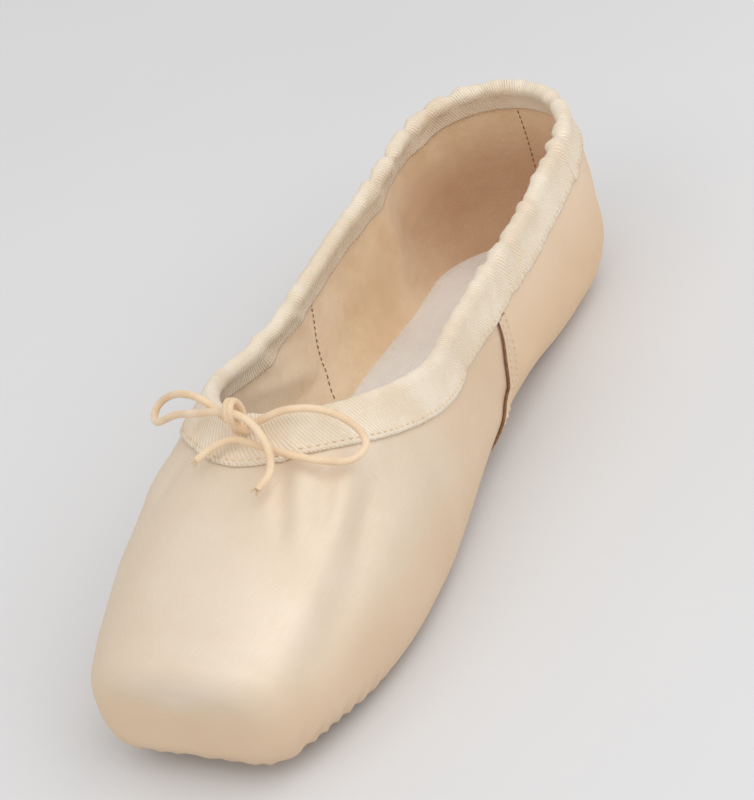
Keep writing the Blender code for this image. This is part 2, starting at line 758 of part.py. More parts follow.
def main():
    clear_scene()
    collection = bpy.data.collections.new("pointe_shoe")
    bpy.context.scene.collection.children.link(collection)
    satin = material("satin", (0.83, 0.66, 0.49), 0.35)
    leather = material("sole_leather", (0.27, 0.12, 0.07), 0.6)
    sock = material("sock", (0.85, 0.83, 0.80), 0.8)
    twill = material("twill", (0.86, 0.74, 0.58), 0.8)
    cord = material("cord", (0.84, 0.72, 0.56), 0.7)
    make_upper(satin, collection)
    add_object("outsole", outsole_mesh(), leather, collection)
    add_object("insole", insole_mesh(), sock, collection)
    add_object("collar_binding", binding_mesh(), twill, collection)
    add_object("back_tape", back_tape_mesh(), satin, collection)
    add_object("side_seam_left", side_seam_mesh("side_seam_left", LEFT), satin, collection)
    add_object("side_seam_right", side_seam_mesh("side_seam_right", RIGHT), satin, collection)
    make_knot(cord, collection)
    make_cord("bow_left", LEFT_CORD, cord, collection)
    make_cord("bow_right", RIGHT_CORD, cord, collection)
    centre_on_origin(collection)


main()
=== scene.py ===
from collections import namedtuple
from math import cos, pi, radians, sin

import bmesh
import bpy
import numpy as np
from mathutils import Matrix, Vector


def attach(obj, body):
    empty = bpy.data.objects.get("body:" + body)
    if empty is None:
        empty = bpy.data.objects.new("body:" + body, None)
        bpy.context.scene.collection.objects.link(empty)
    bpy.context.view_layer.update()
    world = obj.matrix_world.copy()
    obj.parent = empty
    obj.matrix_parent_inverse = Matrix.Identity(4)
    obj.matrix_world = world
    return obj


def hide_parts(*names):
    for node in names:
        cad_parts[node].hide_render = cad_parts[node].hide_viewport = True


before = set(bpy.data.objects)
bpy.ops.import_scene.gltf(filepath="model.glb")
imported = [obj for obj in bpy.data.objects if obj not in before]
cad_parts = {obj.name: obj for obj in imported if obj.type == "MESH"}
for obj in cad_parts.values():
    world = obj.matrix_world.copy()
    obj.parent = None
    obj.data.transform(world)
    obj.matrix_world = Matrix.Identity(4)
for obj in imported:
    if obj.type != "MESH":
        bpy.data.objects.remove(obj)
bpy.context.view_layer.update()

# Sizes of the shoe, in metres, as its source has them.
SHOE_LENGTH = 0.236
BALL_WIDTH = 0.074
INSTEP_HEIGHT = 0.057
VAMP_LENGTH = 0.064
THROAT_RUN = 0.052
THROAT_EXPONENT = 2.1
HEEL_FAN = 0.036
HEEL_EXPONENT = 2.15
HEEL_TOP_RISE = 0.003
HEEL_TREAD_END = 0.0145
PLATFORM_RIM = 0.0060
RIDGE_SHARE = 0.25
BLOCK_WALL = 0.0024
QUARTER_WALL = 0.0014
WALL_CHANGE_START = 0.050
WALL_CHANGE_END = 0.085
GAP = 0.0003
OUTSOLE_THICKNESS = 0.0020
OUTSOLE_MARGIN = 0.0010
OUTSOLE_EDGE = 0.0006
OUTSOLE_SETBACK = 0.019
OUTSOLE_FRONT_ROUND = 0.018
LASTING_LAP = 0.0065
OPENING_SETBACK = 0.029
OPENING_FRONT_ROUND = 0.022
INSOLE_THICKNESS = 0.0016
INSOLE_SETBACK = 0.032
INSOLE_CLEARANCE = 0.0005
BINDING_TAPE = 0.0007
BINDING_ROLL = 0.0012
BINDING_OUTSIDE = 0.0105
BINDING_INSIDE = 0.0075
BINDING_TAB = 0.0035
BINDING_TAB_HALF = 0.009
BACK_TAPE_WIDTH = 0.013
SEAM_WIDTH = 0.0048
SEAM_TAPE = 0.0005
SEAM_FOOT = 0.119
SEAM_TOP = 0.094
CORD = 0.0019
CORD_STEP = 0.0038
KNOT_SIZE = (0.0066, 0.0054, 0.0046)
KNOT_DOWN = 0.0045
LOOP_LENGTH = 0.030
RIDGE = 1.0
LEFT, RIGHT = 1.0, -1.0

Section = namedtuple("Section", "along width tread widest top crown feather")
SECTIONS = (
    Section(0.1525, 0.800, 0.560, 0.35, 1.34, 2.20, 2.2),
    Section(0.25, 0.790, 0.545, 0.34, 1.28, 2.20, 2.2),
    Section(0.35, 0.795, 0.480, 0.33, 1.25, 2.20, 2.2),
    Section(0.43, 0.820, 0.465, 0.32, 1.235, 2.20, 2.2),
    Section(0.52, 0.865, 0.570, 0.31, 1.20, 2.20, 2.2),
    Section(0.61, 0.925, 0.730, 0.31, 1.15, 2.20, 2.2),
    Section(0.69, 0.980, 0.810, 0.31, 1.08, 2.20, 2.2),
    Section(0.76, 1.000, 0.825, 0.31, 1.005, 2.25, 2.2),
    Section(0.84, 0.960, 0.775, 0.31, 0.895, 2.35, 2.2),
    Section(0.92, 0.845, 0.620, 0.31, 0.765, 2.50, 2.2),
    Section(1.00, 0.670, 0.420, 0.31, 0.615, 2.80, 2.3),
)
Lift = namedtuple("Lift", "along height")
ARCH_HEIGHT = 0.0040
TOE_SPRING = 0.0032
LIFTS = (
    Lift(0.00, 0.0),
    Lift(0.20, 0.0),
    Lift(0.38, 1.0),
    Lift(0.56, 0.35),
    Lift(0.66, 0.0),
    Lift(0.82, 0.0),
)
Collar = namedtuple("Collar", "along share")
COLLARS = (
    Collar(0.00, 0.82),
    Collar(0.15, 0.85),
    Collar(0.30, 0.87),
    Collar(0.50, 0.87),
    Collar(0.70, 0.86),
)
Fold = namedtuple("Fold", "side behind below run reach depth")
FOLD_UNIT = 0.001
FOLDS = (
    Fold(LEFT, 0.25, 0.15, 0.070, 0.40, 1.6),
    Fold(LEFT, 0.45, 0.05, 0.070, 0.35, -1.2),
    Fold(RIGHT, 0.22, 0.12, 0.070, 0.40, 1.5),
    Fold(RIGHT, 0.42, 0.05, 0.080, 0.35, -1.0),
    Fold(RIGHT, 0.56, 0.02, 0.050, 0.35, 1.1),
)
Bend = namedtuple("Bend", "left back up")
LEFT_CORD = (
    Bend(0.12, 0.02, 0.00),
    Bend(0.38, 0.13, 0.05),
    Bend(0.66, 0.20, -0.02),
    Bend(0.90, 0.17, -0.16),
    Bend(1.00, 0.06, -0.26),
    Bend(0.90, -0.09, -0.27),
    Bend(0.66, -0.18, -0.16),
    Bend(0.38, -0.20, -0.05),
    Bend(0.16, -0.18, 0.00),
    Bend(0.00, -0.17, 0.02),
    Bend(-0.16, -0.24, 0.00),
    Bend(-0.28, -0.36, -0.03),
)
RIGHT_CORD = (
    Bend(-0.12, 0.02, 0.01),
    Bend(-0.38, 0.16, 0.07),
    Bend(-0.66, 0.25, 0.02),
    Bend(-0.90, 0.28, -0.12),
    Bend(-1.00, 0.22, -0.22),
    Bend(-0.92, 0.11, -0.20),
    Bend(-0.66, 0.08, -0.04),
    Bend(-0.38, 0.02, 0.08),
    Bend(-0.16, -0.01, 0.16),
    Bend(0.02, -0.04, 0.20),
    Bend(0.20, -0.10, 0.16),
    Bend(0.36, -0.24, 0.06),
    Bend(0.42, -0.42, -0.02),
    Bend(0.36, -0.58, -0.05),
)
HALF_BALL = BALL_WIDTH / 2
RUN_TO_FAN = SHOE_LENGTH - HEEL_FAN
FAN_RUN = HEEL_FAN * pi / 2
FULL_RUN = RUN_TO_FAN + FAN_RUN
MIDDLE_X = (SHOE_LENGTH - GAP - SEAM_TAPE) / 2

# Creases, listed one by one. width and depth are in millimetres, and a depth below zero is a
# ridge. Every point of the line is (run back from the platform, level).
Crease = namedtuple("Crease", "side width depth line")
CREASES = (
    Crease(LEFT, 1.8, 1.20, ((0.060, 0.86), (0.047, 0.79), (0.034, 0.70))),
    Crease(LEFT, 2.6, -0.80, ((0.060, 0.78), (0.047, 0.71), (0.034, 0.62))),
    Crease(LEFT, 1.7, 1.05, ((0.061, 0.66), (0.053, 0.62), (0.042, 0.56))),
    Crease(LEFT, 2.4, -0.65, ((0.062, 0.55), (0.052, 0.52), (0.040, 0.47))),
    Crease(LEFT, 1.8, 0.70, ((0.066, 0.44), (0.056, 0.41), (0.044, 0.36))),
    Crease(LEFT, 5.5, 1.40, ((0.080, 0.40), (0.050, 0.36), (0.028, 0.26), (0.010, 0.12))),
    Crease(LEFT, 6.0, -0.90, ((0.074, 0.56), (0.050, 0.55), (0.028, 0.48), (0.012, 0.40))),
    Crease(RIGHT, 1.3, 0.55, ((0.061, 0.95), (0.054, 0.93), (0.046, 0.90))),
    Crease(RIGHT, 1.6, 0.80, ((0.061, 0.80), (0.052, 0.72), (0.042, 0.64))),
    Crease(RIGHT, 3.0, -0.75, ((0.062, 0.66), (0.054, 0.55), (0.046, 0.48))),
    Crease(RIGHT, 2.2, 0.60, ((0.066, 0.50), (0.050, 0.45), (0.036, 0.42))),
    Crease(RIGHT, 6.0, 0.85, ((0.055, 0.30), (0.035, 0.28), (0.014, 0.24))),
    Crease(LEFT, 2.0, 0.60, ((0.0062, 0.35), (0.0048, 0.80), (0.0050, 1.20), (0.0062, 1.65))),
    Crease(LEFT, 2.4, -0.30, ((0.0110, 0.45), (0.0090, 0.85), (0.0100, 1.20))),
    Crease(LEFT, 0.9, 0.50, ((0.0080, -0.10), (0.0050, -0.50))),
    Crease(LEFT, 0.9, 0.55, ((0.0150, -0.20), (0.0110, -0.62))),
    Crease(LEFT, 0.9, 0.50, ((0.0220, -0.34), (0.0190, -0.70))),
    Crease(RIGHT, 0.9, 0.50, ((0.0070, -0.15), (0.0050, -0.50))),
    Crease(RIGHT, 0.9, 0.55, ((0.0140, -0.24), (0.0110, -0.62))),
    Crease(LEFT, 3.5, 0.90, ((0.112, 0.36), (0.126, 0.08), (0.140, -0.30))),
    Crease(LEFT, 4.0, -0.70, ((0.128, 0.38), (0.143, 0.05), (0.155, -0.25))),
    Crease(LEFT, 4.5, 0.90, ((0.168, 0.36), (0.186, 0.02), (0.200, -0.30))),
    Crease(LEFT, 5.0, 0.80, ((0.205, 0.40), (0.222, 0.10), (0.236, -0.30))),
    Crease(RIGHT, 2.4, -1.00, ((0.106, 0.46), (0.116, 0.30), (0.132, 0.16))),
    Crease(RIGHT, 2.6, 0.95, ((0.110, 0.32), (0.120, 0.14), (0.136, 0.02))),
    Crease(RIGHT, 4.5, 0.90, ((0.168, 0.38), (0.180, 0.05), (0.190, -0.30))),
    Crease(RIGHT, 5.0, -0.90, ((0.186, 0.36), (0.200, 0.05), (0.214, -0.25))),
    Crease(RIGHT, 4.0, 0.80, ((0.212, 0.40), (0.226, 0.12), (0.238, -0.20))),
)

# Folds of the lining alone: here a positive depth swells into the shoe.
LINING_FOLDS = (
    Crease(RIGHT, 2.6, 1.30, ((0.104, 0.22), (0.120, 0.10), (0.136, 0.00))),
    Crease(RIGHT, 1.8, -0.70, ((0.108, 0.10), (0.122, 0.00), (0.136, -0.10))),
    Crease(RIGHT, 2.6, 1.10, ((0.112, 0.00), (0.124, -0.20), (0.132, -0.50))),
    Crease(RIGHT, 1.6, 0.70, ((0.122, 0.40), (0.131, 0.28), (0.138, 0.14))),
    Crease(RIGHT, 2.4, -0.50, ((0.150, 0.30), (0.160, 0.02), (0.174, -0.25))),
    Crease(RIGHT, 5.0, 1.80, ((0.180, 0.40), (0.190, 0.05), (0.196, -0.50))),
    Crease(RIGHT, 3.4, -0.70, ((0.196, 0.40), (0.204, 0.02), (0.210, -0.50))),
    Crease(RIGHT, 3.6, 0.80, ((0.214, 0.30), (0.222, 0.00), (0.226, -0.45))),
    Crease(LEFT, 3.0, 0.80, ((0.108, 0.30), (0.120, 0.02), (0.128, -0.40))),
    Crease(LEFT, 4.0, 0.90, ((0.176, 0.32), (0.188, 0.02), (0.196, -0.45))),
)

# The satin's pleats under the toes, that spread from a point above the front of the sole.
PLEAT_COUNT = 46
PLEAT_DEPTH = 0.0008
PLEAT_TOP, PLEAT_FOOT = 0.0125, 0.0048
PLEAT_SWAY, PLEAT_SWAY_TURN = 1.4, 700
PLEAT_FADE = 0.012
PLEAT_CENTRE = SHOE_LENGTH - MIDDLE_X - OUTSOLE_SETBACK - OUTSOLE_FRONT_ROUND

# Where the drawstring pinches the tape: distance back from the platform, side, and depth.
Pinch = namedtuple("Pinch", "run side depth")
PINCHES = (
    Pinch(0.1500, LEFT, 1.0),
    Pinch(0.1585, LEFT, 0.6),
    Pinch(0.1980, LEFT, 0.9),
    Pinch(0.2080, LEFT, 1.1),
    Pinch(0.2200, LEFT, 0.7),
    Pinch(0.2330, LEFT, 0.9),
    Pinch(0.2480, RIGHT, 0.8),
    Pinch(0.2350, RIGHT, 0.7),
    Pinch(0.2240, RIGHT, 0.8),
    Pinch(0.2120, RIGHT, 0.9),
    Pinch(0.1960, RIGHT, 1.1),
    Pinch(0.1860, RIGHT, 0.6),
    Pinch(0.1180, LEFT, 0.4),
    Pinch(0.1300, RIGHT, 0.4),
)
PINCH_WIDTH = 0.0016
PINCH_UNIT = 0.0007
PINCH_LIFTS_FOOT, PINCH_LOWERS_TOP = 0.6, 0.8

# How far the gathers move the tape's face, its lower edge and its top.
GATHER_FACE, GATHER_FOOT, GATHER_TOP = 0.00022, 0.0003, 0.00035

# The girth of the tape's roll over the edge, on its cloth map.
ROLL_GIRTH = 0.004


def smooth_through(at, places, values):
    """A smooth curve through a table's points that doesn't overshoot them."""
    places, values = np.asarray(places, float), np.asarray(values, float)
    steps = np.diff(places)
    slopes = np.diff(values) / steps
    tangents = np.zeros_like(values)
    same_way = slopes[:-1] * slopes[1:] > 0
    mean = 2 * slopes[:-1] * slopes[1:] / np.where(same_way, slopes[:-1] + slopes[1:], 1)
    tangents[1:-1] = np.where(same_way, mean, 0)
    tangents[0], tangents[-1] = slopes[0], slopes[-1]
    at = np.clip(at, places[0], places[-1])
    i = np.clip(np.searchsorted(places, at) - 1, 0, len(steps) - 1)
    t = (at - places[i]) / steps[i]
    start = (1 + 2 * t) * (1 - t) ** 2 * values[i] + t**2 * (3 - 2 * t) * values[i + 1]
    return start + t * (1 - t) * steps[i] * ((1 - t) * tangents[i] - t * tangents[i + 1])


def from_sections(x, column):
    """One column of the table of sections, at places along the shoe."""
    return smooth_through(
        x / SHOE_LENGTH, [row.along for row in SECTIONS], [getattr(row, column) for row in SECTIONS]
    )


def sole_lift(x):
    """Height of the outsole's underside above the floor."""
    along = x / SHOE_LENGTH
    arch = ARCH_HEIGHT * smooth_through(
        along, [row.along for row in LIFTS], [row.height for row in LIFTS]
    )
    toe = np.clip((along - LIFTS[-1].along) / (1 - LIFTS[-1].along), 0, 1)
    return arch + TOE_SPRING * toe**2


def wall_at(run):
    """The upper's wall: stiff and thick round the toes, one soft layer at the quarters."""
    t = np.clip((run - WALL_CHANGE_START) / (WALL_CHANGE_END - WALL_CHANGE_START), 0, 1)
    t = t * t * (3 - 2 * t)
    return BLOCK_WALL + (QUARTER_WALL - BLOCK_WALL) * t


def fan_share(run):
    """0 ahead of the heel, up to 1 at the centre of the back."""
    return np.clip((run - RUN_TO_FAN) / FAN_RUN, 0, 1)


def oval(side_size, back_size, share, roundness):
    """Radius of an oval in plan, where share turns it from the side to the back."""
    angle = share * pi / 2
    across, behind = np.abs(np.cos(angle)), np.abs(np.sin(angle))
    return ((across / side_size) ** roundness + (behind / back_size) ** roundness) ** (-1 / roundness)


def section_sizes(run):
    """Half width, tread, widest height, top height, underside and curve exponents at a run."""
    x = np.maximum(SHOE_LENGTH - run, HEEL_FAN)
    fan = fan_share(run)
    width = oval(HALF_BALL * from_sections(x, "width"), HEEL_FAN, fan, HEEL_EXPONENT)
    tread = oval(HALF_BALL * from_sections(x, "tread"), HEEL_TREAD_END, fan, 2.0)
    widest = INSTEP_HEIGHT * from_sections(x, "widest")
    rise = HEEL_TOP_RISE * fan * fan * (3 - 2 * fan)
    top = INSTEP_HEIGHT * from_sections(x, "top") + rise
    underside = OUTSOLE_THICKNESS + GAP + sole_lift(x)
    return width, tread, widest, top, underside, from_sections(x, "crown"), from_sections(x, "feather")


def collar_share(run):
    """Half width of the collar as a share of the shoe's, from 0 at the throat."""
    behind = run - VAMP_LENGTH
    sides = smooth_through(
        behind / SHOE_LENGTH, [row.along for row in COLLARS], [row.share for row in COLLARS]
    )
    t = np.clip(behind / THROAT_RUN, 0, 1)
    return sides * (1 - (1 - t) ** THROAT_EXPONENT) ** (1 / THROAT_EXPONENT)


def collar_level(run):
    """Where the upper ends at the top: 1 is the ridge of the vamp, 0 the widest line."""
    crown = from_sections(np.maximum(SHOE_LENGTH - run, HEEL_FAN), "crown")
    share = collar_share(run)
    level = np.arccos(np.clip(share ** (crown / 2), 0, 1)) * 2 / pi
    return np.where(run <= VAMP_LENGTH, RIDGE, level)


def lasting_level(run):
    """Where the upper ends underneath: -2 is the middle of the sole, -1 the tread's edge."""
    tread = section_sizes(run)[1]
    back = run - OPENING_SETBACK
    t = np.clip(back / OPENING_FRONT_ROUND, 0, 1)
    half = (tread - LASTING_LAP) * np.sqrt(1 - (1 - t) ** 2)
    return -2 + half / tread


def fold_depth(run, level, side):
    """How far the quarters' soft folds push the surface inwards."""
    top = collar_level(run)
    below = (top - level) / np.maximum(top + 1, 0.1)
    total = np.zeros(np.broadcast(run, level).shape)
    for fold in FOLDS:
        along = (run - VAMP_LENGTH - fold.behind * SHOE_LENGTH) / (fold.run * SHOE_LENGTH)
        down = (below - fold.below) / fold.reach
        total = total + np.where(side == fold.side, fold.depth * np.exp(-(along**2) - down**2), 0)
    return total * FOLD_UNIT


def crown_height(across, crown):
    """Height over the widest line as a share of the crown's, round at the ridge.

    across is the cosine of the level's turn, 0 at the ridge and 1 at the widest line."""
    flat, full = RIDGE_SHARE**crown, (1 + RIDGE_SHARE**2) ** (crown / 2)
    here = (across ** (4 / crown) + RIDGE_SHARE**2) ** (crown / 2)
    return np.clip((full - here) / (full - flat), 0, 1) ** (1 / crown)


def shoe_surface(run, level, side):
    """Points of the upper's outside, where the source has them.

    level runs -2 to -1 across the flat underneath, -1 to 0 round the feather edge and
    0 to 1 up the side to the ridge. Beyond 1 it comes down on the other side."""
    run, level, side = np.broadcast_arrays(*(np.asarray(a, float) for a in (run, level, side)))
    side = np.where(level > 1, -side, side)
    level = np.where(level > 1, 2 - level, level)
    side = np.where(level < -2, -side, side)
    level = np.where(level < -2, -4 - level, level)
    side = np.where(run > FULL_RUN, -side, side)
    run = np.where(run > FULL_RUN, 2 * FULL_RUN - run, run)
    rim_run = np.clip(PLATFORM_RIM - run, 0, PLATFORM_RIM)
    inset = PLATFORM_RIM - np.sqrt(np.maximum(PLATFORM_RIM**2 - rim_run**2, 0))
    cap = np.clip(-run / PLATFORM_RIM, 0, 1)
    run = np.maximum(run, 0)
    width, tread, widest, top, underside, crown, feather = section_sizes(run)

    turn = np.clip(np.abs(level), 0, 1) * pi / 2
    across, along = np.abs(np.cos(turn)), np.abs(np.sin(turn))
    upper_out, upper_height = width * across ** (2 / crown), crown_height(across, crown)
    lower_out = tread + (width - tread) * across ** (2 / feather)
    flat_out = tread * np.clip(level + 2, 0, 1)
    out = np.where(level >= 0, upper_out, np.where(level >= -1, lower_out, flat_out))
    height = np.where(
        level >= 0,
        widest + (top - widest) * upper_height,
        widest - (widest - underside) * along ** (2 / feather),
    )
    out = out - fold_depth(run, level, side)

    half_height = (top - underside) / 2
    middle = underside + half_height
    shrink = 1 - cap
    out = out * (1 - inset / width) * shrink
    height = middle + (height - middle) * (1 - inset / half_height) * shrink

    fan = fan_share(run) * pi / 2
    x = np.maximum(SHOE_LENGTH - run, HEEL_FAN) - out * np.sin(fan) - MIDDLE_X
    y = side * out * np.cos(fan)
    return np.stack([x, y, height], axis=-1)


def surface_slopes(run, level, side):
    """How the surface moves with run and with level."""
    step_run, step_level = 0.0003, 0.01
    by_run = shoe_surface(run + step_run, level, side) - shoe_surface(run - step_run, level, side)
    by_level = shoe_surface(run, level + step_level, side) - shoe_surface(run, level - step_level, side)
    return by_run / (2 * step_run), by_level / (2 * step_level)


def surface_normal(run, level, side):
    """The outward normal."""
    by_run, by_level = surface_slopes(run, level, side)
    normal = np.cross(by_run, by_level) * np.asarray(side, float)[..., None]
    return normal / np.linalg.norm(normal, axis=-1, keepdims=True)


def line_between(corners, count):
    """Points along the straight lines through some corners, evenly in number."""
    corners = np.array(corners, float)
    at = np.linspace(0, len(corners) - 1, count)
    return np.stack([np.interp(at, range(len(corners)), column) for column in corners.T], 1)


def pleat_depth(points):
    """The pleats under the toes, as troughs only."""
    forward, aside, height = points[..., 0] - PLEAT_CENTRE, points[..., 1], points[..., 2]
    turn = np.arctan2(aside, forward) * PLEAT_COUNT + PLEAT_SWAY * np.sin(aside * PLEAT_SWAY_TURN)
    low = np.clip((PLEAT_TOP - height) / (PLEAT_TOP - PLEAT_FOOT), 0, 1)
    ahead = np.clip(forward / PLEAT_FADE + 0.5, 0, 1)
    return PLEAT_DEPTH * (0.5 + 0.5 * np.sin(turn)) ** 0.7 * low * low * (3 - 2 * low) * ahead


def crease_depth(points, lines):
    """How far a table's creases push at these points of the surface."""
    total = np.zeros(points.shape[:-1])
    for crease, spine in lines:
        width = crease.width * FOLD_UNIT
        near = np.all((points > spine.min(0) - 3 * width) & (points < spine.max(0) + 3 * width), axis=-1)
        if near.any():
            distance = np.linalg.norm(points[near][:, None] - spine, axis=-1)
            along = distance.argmin(1) / (len(spine) - 1)
            fade = np.sin(pi * np.clip(along, 0.02, 0.98)) ** 0.6
            total[near] += crease.depth * FOLD_UNIT * fade * np.exp(-((distance.min(1) / width) ** 2))
    return total


def creases_on_shoe(table):
    """A table's creases, each with its line on the surface."""
    return [(row, shoe_surface(*line_between(row.line, 41).T, row.side)) for row in table]


CREASE_LINES, FOLD_LINES = creases_on_shoe(CREASES), creases_on_shoe(LINING_FOLDS)


def off_surface(run, level, side, height=0.0):
    """Points that far outside the creased upper, or inside it where height is negative."""
    side = np.broadcast_to(np.asarray(side, float), np.shape(run))
    points = shoe_surface(run, level, side)
    pushed = crease_depth(points, CREASE_LINES) + pleat_depth(points)
    return points + surface_normal(run, level, side) * (height - pushed)[..., None]


def on_lining(run, level, side, height=0.0):
    """Points on the folded lining, or that far into the shoe from it."""
    folds = crease_depth(shoe_surface(run, level, side), FOLD_LINES)
    return off_surface(run, level, side, -wall_at(run) - folds - height)


def walk(run, level, side, direction, distance, steps=6):
    """Goes that distance over the surface from each place, and returns the new places."""
    run, level = np.array(run, float), np.array(level, float)
    direction = np.array(direction, float)
    distance = np.broadcast_to(np.asarray(distance, float), run.shape)
    for _ in range(steps):
        by_run, by_level = surface_slopes(run, level, side)
        normal = surface_normal(run, level, side)
        direction = direction - (direction * normal).sum(-1, keepdims=True) * normal
        direction /= np.linalg.norm(direction, axis=-1, keepdims=True)
        wanted = direction * (distance / steps)[..., None]
        a, b, c = (by_run**2).sum(-1), (by_run * by_level).sum(-1), (by_level**2).sum(-1)
        e, f = (by_run * wanted).sum(-1), (by_level * wanted).sum(-1)
        scale = a * c - b * b
        run = run + (c * e - b * f) / scale
        level = level + (a * f - b * e) / scale
    return run, level


def spaced(first, last, count, crowd=1.0):
    """count places from first up to, but not at, last, crowded at the first where crowd > 1."""
    return first + (last - first) * (np.arange(count) / count) ** crowd


def lengths_along(points):
    """Distance along a line of points, from its first."""
    return np.concatenate([[0], np.cumsum(np.linalg.norm(np.diff(points, axis=0), axis=1))])


def evenly(points, step):
    """A line of points resampled so that its points are about a step apart."""
    reach = lengths_along(points)
    at = np.linspace(0, reach[-1], max(round(reach[-1] / step), 2) + 1)
    return np.stack([np.interp(at, reach, points[:, k]) for k in range(points.shape[1])], 1)


# Making meshes. Points closer than MERGE_WITHIN are one point.
MERGE_WITHIN, SLIVER, HOLE_SIDES = 2e-6, 1e-7, 6


def weld(name, grids, paints):
    """A mesh from grids of points, welded where they meet and facing out.

    Each grid is (points, texture places, index of its paint)."""
    builder = bmesh.new()
    layer = builder.loops.layers.uv.new("cloth")
    for points, places, paint in grids:
        verts = [[builder.verts.new(p) for p in row] for row in points]
        for i in range(len(verts) - 1):
            for j in range(len(verts[0]) - 1):
                around = ((i, j), (i, j + 1), (i + 1, j + 1), (i + 1, j))
                face = builder.faces.new([verts[a][b] for a, b in around])
                face.material_index = paint
                face.smooth = True
                for loop, (a, b) in zip(face.loops, around):
                    loop[layer].uv = places[a][b]
    bmesh.ops.remove_doubles(builder, verts=builder.verts, dist=MERGE_WITHIN)
    bmesh.ops.dissolve_degenerate(builder, edges=builder.edges, dist=SLIVER)
    bmesh.ops.holes_fill(builder, edges=builder.edges, sides=HOLE_SIDES)
    bmesh.ops.recalc_face_normals(builder, faces=builder.faces)
    mesh = bpy.data.meshes.new(name)
    builder.to_mesh(mesh)
    builder.free()
    for paint in paints:
        mesh.materials.append(paint)
    return mesh


def piece(name, mesh, finish, *nodes):
    """Puts a finished mesh in the scene, to ride on the shoe and stand for the CAD nodes."""
    made = bpy.data.objects.new(name, mesh)
    bpy.context.scene.collection.objects.link(made)
    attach(made, "root")
    if nodes:
        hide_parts(*nodes)
    return made


def tube(path, radii, count=16, step=0.0004):
    """Grid of points and texture places for a round tube on a path, with closed ends."""
    path = evenly(np.asarray(path, float), step)
    reach = lengths_along(path)
    tangent = np.gradient(path, axis=0)
    tangent /= np.linalg.norm(tangent, axis=1, keepdims=True)
    side = np.cross(tangent[0], (0.0, 0.3, 1.0))
    sides = []
    for t in tangent:
        side = side - t * (side @ t)
        side = side / np.linalg.norm(side)
        sides.append(side)
    sides = np.array(sides)
    others = np.cross(tangent, sides)
    radius = np.interp(reach / reach[-1], np.linspace(0, 1, len(radii)), radii)
    turn = np.linspace(0, 2 * pi, count + 1)
    rings = path[:, None] + radius[:, None, None] * (
        sides[:, None] * np.cos(turn)[None, :, None] + others[:, None] * np.sin(turn)[None, :, None]
    )
    uv = np.stack(np.meshgrid(turn / (2 * pi), reach, indexing="xy"), -1)
    first, last = (np.repeat(path[k][None, None], count + 1, 1) for k in (0, -1))
    return np.concatenate([first, rings, last]), np.concatenate([uv[:1], uv, uv[-1:]])


# The diamond lines pressed into the sole: how far apart, how steep, and where they stop behind
# the ball. The line round them is that far from the sole's edge.
LATTICE_PITCH = 0.0150
LATTICE_SLOPE = 0.62
LATTICE_BACK = 0.0150
BORDER_INSET = 0.0028

# The cloths' threads, ridges and braid: how far apart.
SATIN_PITCH, CANVAS_PITCH, SOCK_PITCH = 0.00042, 0.0007, 0.0008
TWILL_PITCH, BRAID_PITCH = 0.00085, 0.0011

# Where the quarters' painted sheen starts, their satin painted warmer for the shine of its other grain: how
# far back it is at the widest line, and its slant.
QUARTER_SHEEN_START = SHOE_LENGTH - SEAM_FOOT + 0.015
QUARTER_SHEEN_SLANT = 0.5


# Materials: a small kit of shader nodes, then one function for each material.
def tone(red, green, blue):
    """A colour as read off a screen, as the shader's linear colour."""
    shares = np.array([red, green, blue]) / 255
    linear = np.where(shares <= 0.04045, shares / 12.92, ((shares + 0.055) / 1.055) ** 2.4)
    return (*map(float, linear), 1.0)


def node(tree, kind, sockets=None, **settings):
    """A shader or geometry node with its settings, values and links."""
    made = tree.nodes.new(kind)
    for key, value in settings.items():
        setattr(made, key, value)
    for key, value in (sockets or {}).items():
        socket = made.inputs[key]
        if isinstance(value, bpy.types.NodeSocket):
            tree.links.new(value, socket)
        else:
            socket.default_value = value
    return made


def calc(tree, operation, *values):
    """A Math node's result, from one to three values."""
    return node(tree, "ShaderNodeMath", dict(enumerate(values)), operation=operation).outputs[0]


def blend(tree, share, first, second):
    """A colour between two, by a share."""
    mix = node(tree, "ShaderNodeMix", data_type="RGBA")
    for socket, value in ((mix.inputs[0], share), (mix.inputs[6], first), (mix.inputs[7], second)):
        if isinstance(value, bpy.types.NodeSocket):
            tree.links.new(value, socket)
        else:
            socket.default_value = value
    return mix.outputs[2]


def ramp(tree, value, low, high, out_low=0.0, out_high=1.0):
    """Maps one range of a value smoothly to another."""
    return node(
        tree,
        "ShaderNodeMapRange",
        {"Value": value, "From Min": low, "From Max": high, "To Min": out_low, "To Max": out_high},
        interpolation_type="SMOOTHSTEP",
    ).outputs[0]


def shader_group(name, inputs, output):
    """An empty shader group: its tree, its inputs and the node that takes its result."""
    group = bpy.data.node_groups.new(name, "ShaderNodeTree")
    for key, kind, value in inputs:
        socket = group.interface.new_socket(key, in_out="INPUT", socket_type=kind)
        if value is not None:
            socket.default_value = value
    group.interface.new_socket(output, in_out="OUTPUT", socket_type="NodeSocketFloat")
    return group, group.nodes.new("NodeGroupInput"), group.nodes.new("NodeGroupOutput")


def threads_group():
    """Height of a plain weave, from a place on the cloth and the threads' pitch."""
    group, into, out = shader_group(
        "threads",
        (("Place", "NodeSocketVector", None), ("Pitch", "NodeSocketFloat", 0.0005)),
        "Height",
    )
    parts = node(group, "ShaderNodeSeparateXYZ", {0: into.outputs["Place"]})
    turn = calc(group, "DIVIDE", pi, into.outputs["Pitch"])
    warp = calc(group, "SINE", calc(group, "MULTIPLY", parts.outputs[0], turn))
    weft = calc(group, "SINE", calc(group, "MULTIPLY", parts.outputs[1], turn))
    height = calc(group, "MULTIPLY", warp, weft)
    group.links.new(calc(group, "ABSOLUTE", height), out.inputs["Height"])
    return group


